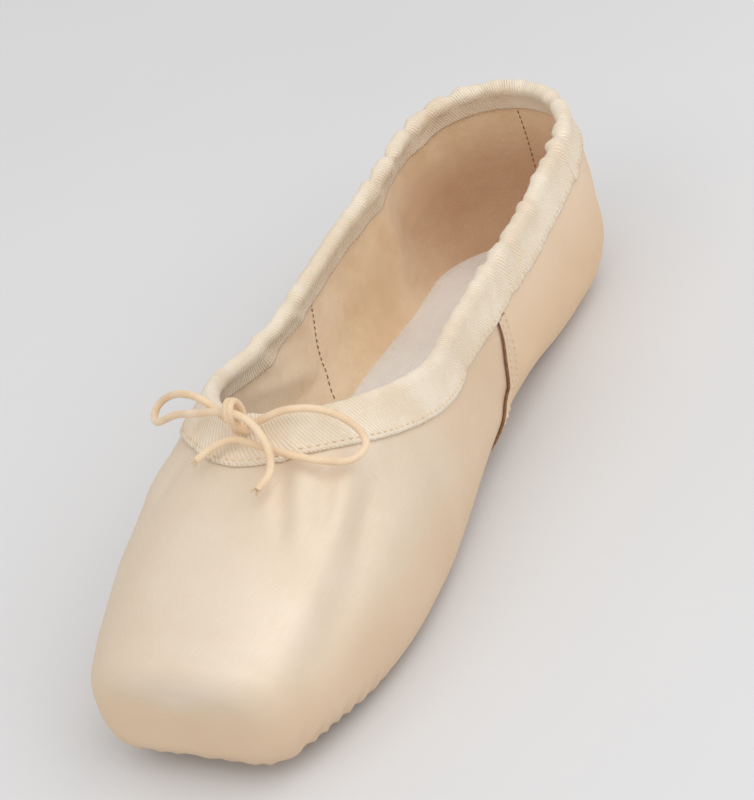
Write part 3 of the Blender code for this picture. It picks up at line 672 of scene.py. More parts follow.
def twill_group():
    """Height of diagonal ridges, each broken into short floats of thread."""
    group, into, out = shader_group(
        "twill_ridges",
        (("Place", "NodeSocketVector", None), ("Pitch", "NodeSocketFloat", 0.001)),
        "Height",
    )
    parts = node(group, "ShaderNodeSeparateXYZ", {0: into.outputs["Place"]})
    turn = calc(group, "DIVIDE", 2 * pi, into.outputs["Pitch"])
    slant = calc(group, "ADD", parts.outputs[0], calc(group, "MULTIPLY", parts.outputs[1], 0.55))
    ridge = calc(group, "SINE", calc(group, "MULTIPLY", slant, turn))
    cross = calc(group, "MULTIPLY", calc(group, "MULTIPLY", parts.outputs[1], 2.6), turn)
    notch = calc(group, "MULTIPLY", calc(group, "SINE", calc(group, "ADD", cross, slant)), 0.22)
    group.links.new(calc(group, "ADD", ridge, notch), out.inputs["Height"])
    return group


def mottle_group():
    """Soft clouds from 0 to 1."""
    group, into, out = shader_group(
        "mottle",
        (("Place", "NodeSocketVector", None), ("Scale", "NodeSocketFloat", 40.0)),
        "Share",
    )
    noise = node(
        group,
        "ShaderNodeTexNoise",
        {"Vector": into.outputs["Place"], "Scale": into.outputs["Scale"], "Detail": 4.0},
    )
    group.links.new(ramp(group, noise.outputs["Fac"], 0.32, 0.68), out.inputs["Share"])
    return group


THREADS, TWILL, MOTTLE = threads_group(), twill_group(), mottle_group()


def from_group(tree, group, place, value):
    """A shader group's result at a place."""
    used = node(tree, "ShaderNodeGroup", node_tree=group)
    tree.links.new(place, used.inputs["Place"])
    used.inputs[1].default_value = value
    return used.outputs[0]


def start_material(name, **sockets):
    """A material with its Principled shader, and the places its patterns read."""
    made = bpy.data.materials.new(name)
    made.use_nodes = True
    tree = made.node_tree
    shader = tree.nodes["Principled BSDF"]
    for key, value in sockets.items():
        shader.inputs[key.replace("_", " ")].default_value = value
    cloth = node(tree, "ShaderNodeUVMap", uv_map="cloth").outputs[0]
    solid = node(tree, "ShaderNodeTexCoord").outputs["Object"]
    return made, tree, shader, cloth, solid


def bump(tree, shader, *layers):
    """Stacks heights, each (height, metres of relief), into the shader's normal."""
    normal = None
    for height, relief in layers:
        made = node(tree, "ShaderNodeBump", {"Height": height, "Distance": relief, "Strength": 1.0})
        if normal:
            tree.links.new(normal, made.inputs["Normal"])
        normal = made.outputs[0]
    tree.links.new(normal, shader.inputs["Normal"])


def satin_material():
    """Peach satin: smooth, with a broad soft shine and faint slubs along the thread. Its colour carries
    painted shade low down and on the flanks, and painted sheen on the quarters.
    """
    made, tree, shader, cloth, solid = start_material("satin", Metallic=0.26, Specular_IOR_Level=0.65)
    clouds = from_group(tree, MOTTLE, solid, 34.0)
    stretch = node(tree, "ShaderNodeMapping", {"Vector": cloth, "Scale": (260.0, 5200.0, 1.0)})
    slubs = node(tree, "ShaderNodeTexNoise", {"Vector": stretch.outputs[0], "Scale": 1.0, "Detail": 2.0})
    weave = from_group(tree, THREADS, cloth, SATIN_PITCH)
    colour = blend(tree, clouds, tone(226, 209, 187), tone(232, 218, 199))
    colour = blend(tree, ramp(tree, slubs.outputs[0], 0.3, 0.7, 0.0, 0.18), colour, tone(220, 182, 142))
    parts = node(tree, "ShaderNodeSeparateXYZ", {0: cloth})
    # Painted sheen: the quarters behind the seam are painted warmer, for the different shine of their satin's
    # grain.
    boundary = calc(tree, "MULTIPLY_ADD", parts.outputs[1], QUARTER_SHEEN_SLANT, QUARTER_SHEEN_START)
    quarter = ramp(tree, calc(tree, "SUBTRACT", parts.outputs[0], boundary), -0.0004, 0.0004)
    colour = blend(tree, calc(tree, "MULTIPLY", quarter, 0.55), colour, tone(238, 206, 170))
    # Painted shade: the satin is painted tan low on the walls and underneath, where it turns from the light,
    # and on the flanks ahead of the seam.
    low = ramp(tree, parts.outputs[1], -0.002, 0.022, 0.45, 0.0)
    painted_flank_shade = ramp(tree, parts.outputs[0], 0.070, 0.105, 0.0, 0.4)
    painted_flank_shade = calc(tree, "MULTIPLY", painted_flank_shade, calc(tree, "SUBTRACT", 1.0, quarter))
    colour = blend(tree, calc(tree, "MAXIMUM", low, painted_flank_shade), colour, tone(222, 184, 140))
    tree.links.new(colour, shader.inputs["Base Color"])
    rough = ramp(tree, slubs.outputs[0], 0.2, 0.8, 0.52, 0.62)
    tree.links.new(rough, shader.inputs["Roughness"])
    bump(tree, shader, (weave, 0.000012), (slubs.outputs[0], 0.00002), (clouds, 0.00006))
    return made


def canvas_material():
    """The unbleached canvas of the lining, with painted shade deep in the heel."""
    made, tree, shader, cloth, solid = start_material("canvas", Roughness=0.86, Sheen_Weight=0.2)
    clouds = from_group(tree, MOTTLE, solid, 55.0)
    weave = from_group(tree, THREADS, cloth, CANVAS_PITCH)
    fine = from_group(tree, MOTTLE, solid, 210.0)
    parts = node(tree, "ShaderNodeSeparateXYZ", {0: solid})
    colour = blend(tree, clouds, tone(238, 208, 170), tone(248, 224, 192))
    colour = blend(tree, ramp(tree, parts.outputs[0], -0.045, 0.02, 0.0, 0.6), colour, tone(240, 226, 204))
    # Painted shade: the canvas darker low down at the back of the heel, where shade falls.
    painted_heel_shade = calc(tree, "MULTIPLY", ramp(tree, parts.outputs[0], -0.105, -0.06, 1.0, 0.0),
                ramp(tree, parts.outputs[2], 0.022, 0.050, 1.0, 0.0))
    colour = blend(tree, calc(tree, "MULTIPLY", painted_heel_shade, 0.7), colour, tone(190, 144, 112))
    colour = blend(tree, calc(tree, "MULTIPLY", fine, 0.12), colour, tone(186, 146, 108))
    colour = blend(tree, calc(tree, "MULTIPLY", weave, 0.18), colour, tone(240, 222, 194))
    tree.links.new(colour, shader.inputs["Base Color"])
    bump(tree, shader, (weave, 0.00006), (fine, 0.00012), (clouds, 0.0003))
    return made


def sock_material():
    """The pale grey sock."""
    made, tree, shader, cloth, solid = start_material("sock", Roughness=0.9, Sheen_Weight=0.3)
    clouds = from_group(tree, MOTTLE, solid, 60.0)
    weave = from_group(tree, THREADS, cloth, SOCK_PITCH)
    colour = blend(tree, clouds, tone(240, 237, 233), tone(250, 248, 245))
    tree.links.new(colour, shader.inputs["Base Color"])
    bump(tree, shader, (weave, 0.0001))
    return made


def twill_material():
    """Cream cotton tape with diagonal ridges."""
    made, tree, shader, cloth, solid = start_material("twill", Roughness=0.82, Sheen_Weight=0.25)
    clouds = from_group(tree, MOTTLE, solid, 90.0)
    ridges = from_group(tree, TWILL, cloth, TWILL_PITCH)
    colour = blend(tree, clouds, tone(240, 222, 196), tone(250, 237, 216))
    colour = blend(tree, ramp(tree, ridges, -1.0, 0.4, 0.24, 0.0), colour, tone(205, 168, 126))
    tree.links.new(colour, shader.inputs["Base Color"])
    bump(tree, shader, (ridges, 0.00009), (clouds, 0.00015))
    return made


def cord_material():
    """Matt cream cord, braided finely."""
    made, tree, shader, cloth, solid = start_material("cord", Roughness=0.75, Sheen_Weight=0.25)
    clouds = from_group(tree, MOTTLE, solid, 140.0)
    parts = node(tree, "ShaderNodeSeparateXYZ", {0: cloth})
    turn = calc(tree, "MULTIPLY", parts.outputs[0], 10 * pi)
    along = calc(tree, "MULTIPLY", parts.outputs[1], 2 * pi / BRAID_PITCH)
    one = calc(tree, "SINE", calc(tree, "ADD", along, turn))
    other = calc(tree, "SINE", calc(tree, "SUBTRACT", along, turn))
    braid = calc(tree, "MAXIMUM", one, other)
    colour = blend(tree, clouds, tone(230, 200, 164), tone(240, 216, 184))
    colour = blend(tree, ramp(tree, braid, -0.4, 0.5, 0.12, 0.0), colour, tone(200, 160, 120))
    tree.links.new(colour, shader.inputs["Base Color"])
    bump(tree, shader, (braid, 0.000022))
    return made


def near_line(tree, value, place):
    """1 on a thin line where the value has reached that place, and 0 away from it."""
    away = calc(tree, "ABSOLUTE", calc(tree, "SUBTRACT", value, place))
    return ramp(tree, away, 0.0001, 0.0005, 1.0, 0.0)


def leather_material():
    """Matt brown sole leather."""
    made, tree, shader, cloth, solid = start_material("sole_leather", Roughness=0.68)
    clouds = from_group(tree, MOTTLE, solid, 70.0)
    grain = node(tree, "ShaderNodeTexNoise", {"Vector": solid, "Scale": 1500.0, "Detail": 3.0})
    edge = node(tree, "ShaderNodeSeparateXYZ", {0: cloth}).outputs[0]
    parts = node(tree, "ShaderNodeSeparateXYZ", {0: solid})
    lines = []
    for slope in (LATTICE_SLOPE, -LATTICE_SLOPE):
        across = calc(tree, "ADD", parts.outputs[0], calc(tree, "MULTIPLY", parts.outputs[1], slope))
        wrapped = calc(tree, "WRAP", across, LATTICE_PITCH / 2, -LATTICE_PITCH / 2)
        lines.append(calc(tree, "ABSOLUTE", wrapped))
    lattice = ramp(tree, calc(tree, "MINIMUM", *lines), 0.0001, 0.0004, 1.0, 0.0)
    fore = ramp(tree, parts.outputs[0], LATTICE_BACK, LATTICE_BACK + 0.0006)
    within = ramp(tree, edge, BORDER_INSET + 0.0002, BORDER_INSET + 0.0006)
    lattice = calc(tree, "MULTIPLY", calc(tree, "MULTIPLY", lattice, fore), within)
    border = near_line(tree, edge, BORDER_INSET)
    back_line = calc(tree, "MULTIPLY", near_line(tree, parts.outputs[0], LATTICE_BACK), within)
    cut = calc(tree, "MAXIMUM", calc(tree, "MAXIMUM", lattice, border), back_line)
    colour = blend(tree, clouds, tone(122, 74, 54), tone(146, 94, 72))
    colour = blend(tree, ramp(tree, edge, 0.0002, 0.0014, 0.75, 0.0), colour, tone(84, 46, 32))
    colour = blend(tree, calc(tree, "MULTIPLY", cut, 0.7), colour, tone(72, 38, 27))
    tree.links.new(colour, shader.inputs["Base Color"])
    sunk = calc(tree, "SUBTRACT", 1.0, cut)
    bump(tree, shader, (sunk, 0.0004), (grain.outputs[0], 0.00012))
    return made


def thread_material(name, colour, light):
    """Sewing thread."""
    made, tree, shader, cloth, solid = start_material(name, Roughness=0.6)
    clouds = from_group(tree, MOTTLE, solid, 900.0)
    tree.links.new(blend(tree, clouds, colour, light), shader.inputs["Base Color"])
    return made


def floor_material():
    """Plain pale floor."""
    made, tree, shader, cloth, solid = start_material("floor", Roughness=0.55)
    clouds = from_group(tree, MOTTLE, solid, 3.0)
    tree.links.new(blend(tree, clouds, tone(221, 221, 222), tone(225, 225, 226)), shader.inputs["Base Color"])
    return made


SATIN, CANVAS, SOCK, TAPE = satin_material(), canvas_material(), sock_material(), twill_material()
CORD_PAINT, LEATHER, FLOOR = cord_material(), leather_material(), floor_material()
PALE_THREAD = thread_material("pale_thread", tone(224, 196, 160), tone(236, 216, 184))
DARK_THREAD = thread_material("dark_thread", tone(112, 72, 46), tone(146, 102, 70))

# The camera, at the photograph's angle and rolled as it is.
CAMERA_AZIMUTH, CAMERA_ELEVATION, CAMERA_ROLL = radians(33.34), radians(33.34), radians(-16.65)
CAMERA_DISTANCE = 0.683
CAMERA_AIM = Vector((0.0004, 0.0, 0.025))
CAMERA_LENS = 117.45


def make_camera():
    """A long lens on the toe's side, above the floor."""
    a, e, r = CAMERA_AZIMUTH, CAMERA_ELEVATION, CAMERA_ROLL
    back = Vector((cos(a) * cos(e), sin(a) * cos(e), sin(e)))
    level = Vector((-sin(a), cos(a), 0))
    upright = back.cross(level)
    across = level * cos(r) + upright * sin(r)
    upwards = upright * cos(r) - level * sin(r)
    camera = bpy.data.objects.new("camera", bpy.data.cameras.new("camera"))
    camera.data.lens = CAMERA_LENS
    camera.data.clip_start = 0.02
    turned = Matrix((across, upwards, back)).transposed().to_4x4()
    camera.matrix_world = Matrix.Translation(CAMERA_AIM + back * CAMERA_DISTANCE) @ turned
    bpy.context.scene.collection.objects.link(camera)
    bpy.context.scene.camera = camera


def knot_frame():
    """The knot's centre, and which ways are left, back and up for it."""
    run, level, side = (np.array([value]) for value in (VAMP_LENGTH, RIDGE, LEFT))
    forward = np.array([(1.0, 0.0, 0.0)])
    place = walk(run, level, side, forward, KNOT_DOWN)
    up = surface_normal(*place, side)[0]
    left = np.array((0.0, 1.0, 0.0))
    back = np.cross(up, left)
    seat = GAP + BINDING_TAPE + BINDING_ROLL / 2 + GAP + KNOT_SIZE[2] / 2
    centre = shoe_surface(*place, side)[0] + up * seat
    return centre, left, back, up


def smooth_path(corners, pieces=12):
    """A smooth curve through corners."""
    corners = np.asarray(corners, float)
    ends = np.concatenate([[2 * corners[0] - corners[1]], corners, [2 * corners[-1] - corners[-2]]])
    fine = []
    for a, b, c, d in zip(ends, ends[1:], ends[2:], ends[3:]):
        for t in np.arange(pieces) / pieces:
            fine.append(
                b + (c - a) * t / 2 + (2 * a - 5 * b + 4 * c - d) * t**2 / 2
                + (3 * b - a - 3 * c + d) * t**3 / 2
            )
    return np.array(fine + [corners[-1]])


def in_knot(bends, size):
    """Places given in the knot's own directions, as points."""
    centre, left, back, up = knot_frame()
    rows = np.array(bends, float) * size
    return centre + rows[:, :1] * left + rows[:, 1:2] * back + rows[:, 2:] * up


# The turn of cord over the knot: half its depth, its height over the knot's middle, its lean.
KNOT_OVER_HALF = 0.0026
KNOT_OVER_TOP = 0.0079
KNOT_OVER_LEAN = 0.0011
FRAY_FIBRES, FRAY_LENGTH, FRAY_THREAD, FRAY_ROOT = 18, 0.0021, 0.00014, 0.0006

# How many sides a cord has, and how much the knot squeezes it.
CORD_SIDES, CORD_SQUEEZE = 18, 0.94


def fray(name, end, along, seed):
    """Loose fibres at a cord's cut end."""
    chance = np.random.default_rng(seed)
    grids = []
    for _ in range(FRAY_FIBRES):
        spread = chance.normal(0, 1, 3)
        spread -= along * (spread @ along)
        spread /= np.linalg.norm(spread)
        start = end + spread * CORD / 2 * 0.7 * chance.random() - along * FRAY_ROOT
        reach = FRAY_LENGTH * (0.6 + 0.6 * chance.random())
        bend = spread * reach * chance.uniform(0.1, 0.55)
        path = smooth_path([start, start + along * reach * 0.5 + bend * 0.3, start + along * reach + bend], 4)
        rings, uv = tube(path, [FRAY_THREAD, FRAY_THREAD * 0.4], 5, 0.0004)
        grids.append((rings, uv, 0))
    return piece(name, weld(name, grids, [PALE_THREAD]), "cord")


def make_bow():
    """The knot's wraps and the two cords, each with its loop and its loose end."""
    across, along, through = (size / 2 - CORD / 2 for size in KNOT_SIZE)
    turn = np.linspace(0, 2 * pi * 1.6, 40)
    drift = np.linspace(-0.62, 0.62, 40)
    core = np.stack([across * drift, along * np.cos(turn + 0.6), through * np.sin(turn + 0.6)], 1)
    turn = np.linspace(-0.25, 1.80, 60) * 2 * pi
    drift = np.linspace(-1.0, 1.0, 60) * KNOT_OVER_LEAN
    rise = (KNOT_OVER_TOP - through) / 2
    over = np.stack(
        [drift, KNOT_OVER_HALF * np.cos(turn), rise + (KNOT_OVER_TOP + through) / 2 * np.sin(turn)], 1
    )
    turn = np.linspace(0.3, 2 * pi * 0.9, 30)
    under = np.stack([across * np.cos(turn), along * 0.55 * np.sin(turn), -through * 0.3 * np.cos(turn)], 1)
    grids = []
    for wrap in (core, over, under):
        rings, uv = tube(in_knot(wrap, 1.0), [CORD / 2 * CORD_SQUEEZE] * 2, CORD_SIDES)
        grids.append((rings, uv, 0))
    piece("bow_knot_wraps", weld("bow_knot_wraps", grids, [CORD_PAINT]), "cord", "bow_knot")
    for name, bends in (("left", LEFT_CORD), ("right", RIGHT_CORD)):
        path = evenly(smooth_path(in_knot(bends, LOOP_LENGTH)), CORD_STEP / 4)
        rings, uv = tube(path, [CORD / 2] * 2, CORD_SIDES)
        mesh = weld("cord_" + name, [(rings, uv, 0)], [CORD_PAINT])
        cord = piece("cord_" + name, mesh, "cord", "bow_" + name)
        heading = (path[-1] - path[-4]) / np.linalg.norm(path[-1] - path[-4])
        fibres = fray("cord_fray_" + name, path[-1], heading, len(name))


make_camera()
make_bow()


# The upper's cloth, with its rows of faces underneath, round the feather edge and up the wall.
FLAT_ROWS, FEATHER_ROWS, WALL_ROWS = 7, 19, 32


def upper_runs():
    """Stations from the platform to the back, crowded where the openings begin."""
    rim = PLATFORM_RIM * (1 - np.cos(np.arange(10) / 10 * pi / 2))
    return np.concatenate(
        [
            PLATFORM_RIM * np.array([-0.985, -0.93, -0.85, -0.75, -0.6, -0.45, -0.3, -0.15, -0.05]),
            rim,
            spaced(PLATFORM_RIM, OPENING_SETBACK, 22),
            spaced(OPENING_SETBACK, VAMP_LENGTH, 34, 1.4),
            spaced(VAMP_LENGTH, VAMP_LENGTH + THROAT_RUN, 44, 1.9),
            spaced(VAMP_LENGTH + THROAT_RUN, RUN_TO_FAN, 56),
            spaced(RUN_TO_FAN, FULL_RUN, 36),
            [FULL_RUN],
        ]
    )


def upper_levels(run):
    """Levels of one station, from the edge underneath to the edge or ridge at the top."""
    lasting, top = float(lasting_level(max(run, 0))), float(collar_level(run))
    flat = np.linspace(lasting, -1, FLAT_ROWS + 1)[:-1]
    feather = np.linspace(-1, 0, FEATHER_ROWS + 1)[:-1]
    wall = np.linspace(0, top, WALL_ROWS)
    return np.concatenate([flat, feather, wall])


def upper_mesh():
    """Satin outside and canvas inside, as one closed sheet of the wall's thickness."""
    runs = upper_runs()
    grids = []
    for side in (LEFT, RIGHT):
        levels = np.array([upper_levels(run) for run in runs])
        stations = np.repeat(runs[:, None], levels.shape[1], 1)
        outer = off_surface(stations, levels, side)
        inner = on_lining(stations, levels, side)
        girth = np.array([lengths_along(row) for row in outer])
        girth -= girth[:, [FLAT_ROWS + FEATHER_ROWS - 1]]
        places = np.stack([stations, girth], -1)
        grids.append((outer, places, 0))
        grids.append((inner, places, 1))
        for column, first in ((0, OPENING_SETBACK), (-1, VAMP_LENGTH)):
            open_here = runs >= first - 1e-6
            rim = np.stack([outer[open_here, column], inner[open_here, column]], 1)
            grids.append((rim, np.stack([places[open_here, column]] * 2, 1), 1))
    outer_tip, inner_tip = ([g[0][0] for g in grids[k::4]] for k in (0, 1))
    for tips, paint in ((outer_tip, 0), (inner_tip, 1)):
        for tip in tips:
            centre = np.repeat(tip.mean(0)[None], len(tip), 0)
            grids.append((np.stack([centre, tip]), np.zeros((2, len(tip), 2)), paint))
    return weld("upper_cloth", grids, [SATIN, CANVAS])


piece("upper_cloth", upper_mesh(), "satin", "upper")


# The collar's tape.
def collar_places(count):
    """Places round the opening, evenly apart: throat, left side, back, right side."""
    runs = np.concatenate(
        [spaced(VAMP_LENGTH, VAMP_LENGTH + THROAT_RUN, 200, 2.2),
         np.linspace(VAMP_LENGTH + THROAT_RUN, FULL_RUN, 400)]
    )
    half = shoe_surface(runs, collar_level(runs), LEFT)
    reach = lengths_along(half)
    run = np.interp(np.linspace(0, reach[-1], count // 2 + 1), reach, runs)
    run = np.concatenate([run, run[-2:0:-1]])
    side = np.concatenate([np.full(count // 2 + 1, LEFT), np.full(count // 2 - 1, RIGHT)])
    return run, collar_level(run), side


def away_from_opening(run, level, side):
    """Directions on the surface, away from the opening, at places along the collar."""
    points = shoe_surface(run, level, side)
    tangent = np.roll(points, -1, 0) - np.roll(points, 1, 0)
    away = np.cross(surface_normal(run, level, side), tangent)
    away /= np.linalg.norm(away, axis=1, keepdims=True)
    away *= np.where(away[:, 2] > 0, -1, 1)[:, None]
    return away


def tab_reach(points):
    """How much further the tape reaches down at the throat."""
    from_throat = np.hypot(points[:, 1], points[:, 0] - points[0, 0])
    return BINDING_TAB * np.exp(-((from_throat / BINDING_TAB_HALF) ** 2))


def ruffle(reach, total):
    """Uneven gathers along the tape, from -1 to 1."""
    turn = reach / total * 2 * pi
    return (
        0.50 * np.sin(37 * turn + 2.6 * np.sin(4 * turn)) * (0.6 + 0.4 * np.sin(6 * turn + 1))
        + 0.40 * np.sin(59 * turn + 3.0 * np.sin(3 * turn + 1)) * (0.6 + 0.4 * np.sin(9 * turn + 2))
        + 0.25 * np.sin(101 * turn + 2.4 * np.sin(7 * turn + 2))
    )


def pinched(reach, run, side):
    """How much each place of the collar is drawn in by a pinch, and how far along it is pulled."""
    drawn = np.zeros(len(run))
    for pinch in PINCHES:
        centre = reach[np.argmin(np.abs(run - pinch.run) + 9 * (side != pinch.side))]
        away = np.abs(reach - centre)
        drawn += pinch.depth * np.exp(-((away / PINCH_WIDTH) ** 2))
        drawn -= 0.45 * pinch.depth * np.exp(-(((away - 2.2 * PINCH_WIDTH) / PINCH_WIDTH) ** 2))
    return drawn * PINCH_UNIT


def binding_mesh():
    """The tape folded over the edge: a casing for the drawstring, and a flat flange below."""
    run, level, side = collar_places(1100)
    away = away_from_opening(run, level, side)
    points = off_surface(run, level, side)
    reach = lengths_along(np.concatenate([points, points[:1]]))
    total, reach = reach[-1], reach[:-1]
    loose = 0.45 + 0.55 * np.clip((run - 0.12) / 0.06, 0, 1) ** 0.7
    gather = ruffle(reach, total) * loose
    drawn = pinched(reach, run, side)
    wall = wall_at(run)
    tape, roll = GAP + BINDING_TAPE, BINDING_ROLL
    edge = surface_normal(run, level, side)
    depth = BINDING_OUTSIDE + tab_reach(points) + GATHER_FOOT * gather - PINCH_LIFTS_FOOT * drawn
    points = points - away * (GATHER_TOP * gather - PINCH_LOWERS_TOP * drawn)[:, None]

    def over(share, height, reach_down):
        place = walk(run, level, side, away, reach_down * share)
        return off_surface(*place, side, height)

    columns, across = [], []
    for share in np.linspace(1.0, 0.0, 15)[:-1]:
        swell = roll * (0.5 + 0.12 * gather) * np.exp(-((share / 0.24) ** 2))
        fade = (1 - share) ** 0.7
        waves = (GATHER_FACE * gather - drawn) * fade
        place_height = np.maximum(tape + swell + waves, GAP + 0.0002)
        columns.append(over(share, place_height, depth))
        across.append(-share * depth)
    lift = tape + roll * (0.8 + 0.16 * gather)
    plump = tape + roll * 0.5 + GATHER_FACE * gather - drawn
    for share in np.linspace(0, 1, 11)[1:-1]:
        turn = share * pi
        offset = plump * cos(turn) - wall * share
        columns.append(points + edge * offset[:, None] - away * (lift * sin(turn) ** 0.8)[:, None])
        across.append(np.full(len(run), share * ROLL_GIRTH))
    for share in np.linspace(0.0, 1.0, 12)[1:]:
        swell = (roll * 0.5 + GATHER_FACE * gather - drawn) * np.exp(-((share / 0.3) ** 2))
        place = walk(run, level, side, away, BINDING_INSIDE * share)
        columns.append(on_lining(*place, side, tape + np.maximum(swell, -0.0005)))
        across.append(np.full(len(run), ROLL_GIRTH + share * BINDING_INSIDE))
    place = walk(run, level, side, away, BINDING_INSIDE)
    columns.append(on_lining(*place, side, GAP * 0.5))
    across.append(across[-1] + 0.0005)
    columns.append(points - edge * (wall / 2)[:, None])
    across.append(across[-1] + 0.001)
    columns.append(over(1.0, GAP * 0.5, depth))
    across.append(-depth - 0.0005)
    columns.append(columns[0])
    across.append(-depth)
    rings = np.stack(columns, 1)
    uv = np.stack([np.repeat(reach[:, None], len(columns), 1), np.stack(across, 1)], -1)
    last = uv[:1].copy()
    last[..., 0] = total
    rings, uv = np.concatenate([rings, rings[:1]]), np.concatenate([uv, last])
    return weld("binding_tape", [(rings, uv, 0)], [TAPE])


piece("binding_tape", binding_mesh(), "twill", "collar_binding")


# The tape at the heel and the quarters' seams, each on a line with this many points.
LINE_POINTS = 90
SEAM_LOW = -0.97
# The dark cord along each seam's front stands for the shadow at that edge and the dark stitching there: its
# radii, how far ahead and how high.
SEAM_SHADOW_CORD_RADII = (0.00025, 0.00038, 0.0004, 0.00038, 0.00025)
SEAM_SHADOW_CORD_AHEAD, SEAM_SHADOW_CORD_LIFT = 0.0004, 0.0005


def below_binding(run, side):
    """The level just under the binding's lower edge."""
    places = collar_places(300)
    low_run, low_level = walk(*places, away_from_opening(*places), BINDING_OUTSIDE + GAP * 2)
    chosen = places[2] == side
    order = np.argsort(low_run[chosen])
    return float(np.interp(run, low_run[chosen][order], low_level[chosen][order]))


# A tape's cross-section: the place as a share of its width, and the height as a share of its own.
TAPE_PROFILE = (
    (-0.5, 0.0), (-0.5, 0.35), (-0.49, 0.7), (-0.46, 0.95), (-0.4, 1.0), (-0.2, 1.0), (0.0, 1.0),
    (0.2, 1.0), (0.4, 1.0), (0.46, 0.95), (0.49, 0.7), (0.5, 0.35), (0.5, 0.0),
)


def strip_mesh(name, run, level, side, across, width, paint):
    """A tape on the upper with rounded edges."""
    columns, places = [], []
    for share, lift in TAPE_PROFILE:
        place = walk(run, level, side, across * (1 if share > 0 else -1), width * abs(share), 4)
        height = GAP * 0.3 + (GAP * 0.7 + SEAM_TAPE) * lift
        columns.append(off_surface(*place, side, height))
        places.append(np.full(len(run), share * width))
    rings = np.stack(columns + [columns[0]], 1)
    reach = lengths_along(rings[:, len(TAPE_PROFILE) // 2])
    uv = np.stack([np.repeat(reach[:, None], len(columns) + 1, 1), np.stack(places + [places[0]], 1)], -1)
    grids = [(rings, uv, 0)]
    for end in (0, -1):
        cap = np.stack([rings[end], np.repeat(rings[end].mean(0)[None], rings.shape[1], 0)])
        grids.append((cap, np.stack([uv[end]] * 2), 0))
    return weld(name, grids, [paint])


def back_tape_line():
    """Places up the middle of the heel."""
    tread = float(section_sizes(FULL_RUN)[1])
    level = np.linspace(-1 + GAP / tread, below_binding(FULL_RUN, LEFT), LINE_POINTS)
    return np.full(LINE_POINTS, FULL_RUN), level, LEFT


def seam_line(side):
    """Places of a quarter's seam, from the outsole's edge up and back to the binding."""
    share = np.linspace(0, 1, LINE_POINTS)
    run = SHOE_LENGTH - (SEAM_FOOT + (SEAM_TOP - SEAM_FOOT) * share)
    top = below_binding(run[-1], side)
    return run, SEAM_LOW + (top - SEAM_LOW) * share, side


ACROSS_HEEL = np.tile((0.0, 1.0, 0.0), (LINE_POINTS, 1))
ACROSS_SEAM = np.tile((1.0, 0.0, 0.0), (LINE_POINTS, 1))


def beside(line, across, distance, height):
    """A line on the upper moved across it, and lifted off it: its points and their normals."""
    run, level, side = line
    place = walk(run, level, side, across * np.sign(distance), abs(distance), 4)
    return off_surface(*place, side, height), surface_normal(*place, side)


def make_seams():
    """The heel's tape, and each quarter's seam with a dark cord at its front, standing for the shadow along
    that edge and its dark stitching.
    """
    mesh = strip_mesh("heel_tape", *back_tape_line(), ACROSS_HEEL, BACK_TAPE_WIDTH, SATIN)
    piece("heel_tape", mesh, "satin", "back_tape")
    for word, side in (("left", LEFT), ("right", RIGHT)):
        line = seam_line(side)
        mesh = strip_mesh("quarter_seam_" + word, *line, ACROSS_SEAM, SEAM_WIDTH, SATIN)
        piece("quarter_seam_" + word, mesh, "satin", "side_seam_" + word)
        # Painted shadow: a dark cord along the seam's front edge, with the dark stitching there.
        front, _ = beside(line, ACROSS_SEAM, SEAM_WIDTH / 2 + SEAM_SHADOW_CORD_AHEAD, SEAM_SHADOW_CORD_LIFT)
        rings, uv = tube(front, SEAM_SHADOW_CORD_RADII, 8)
        mesh = weld("seam_shadow_cord_" + word, [(rings, uv, 0)], [DARK_THREAD])
        piece("seam_shadow_cord_" + word, mesh, "satin")


# Stitches: one tree of geometry nodes sews every row.
STITCHES = bpy.data.node_groups.new("stitch_row", "GeometryNodeTree")


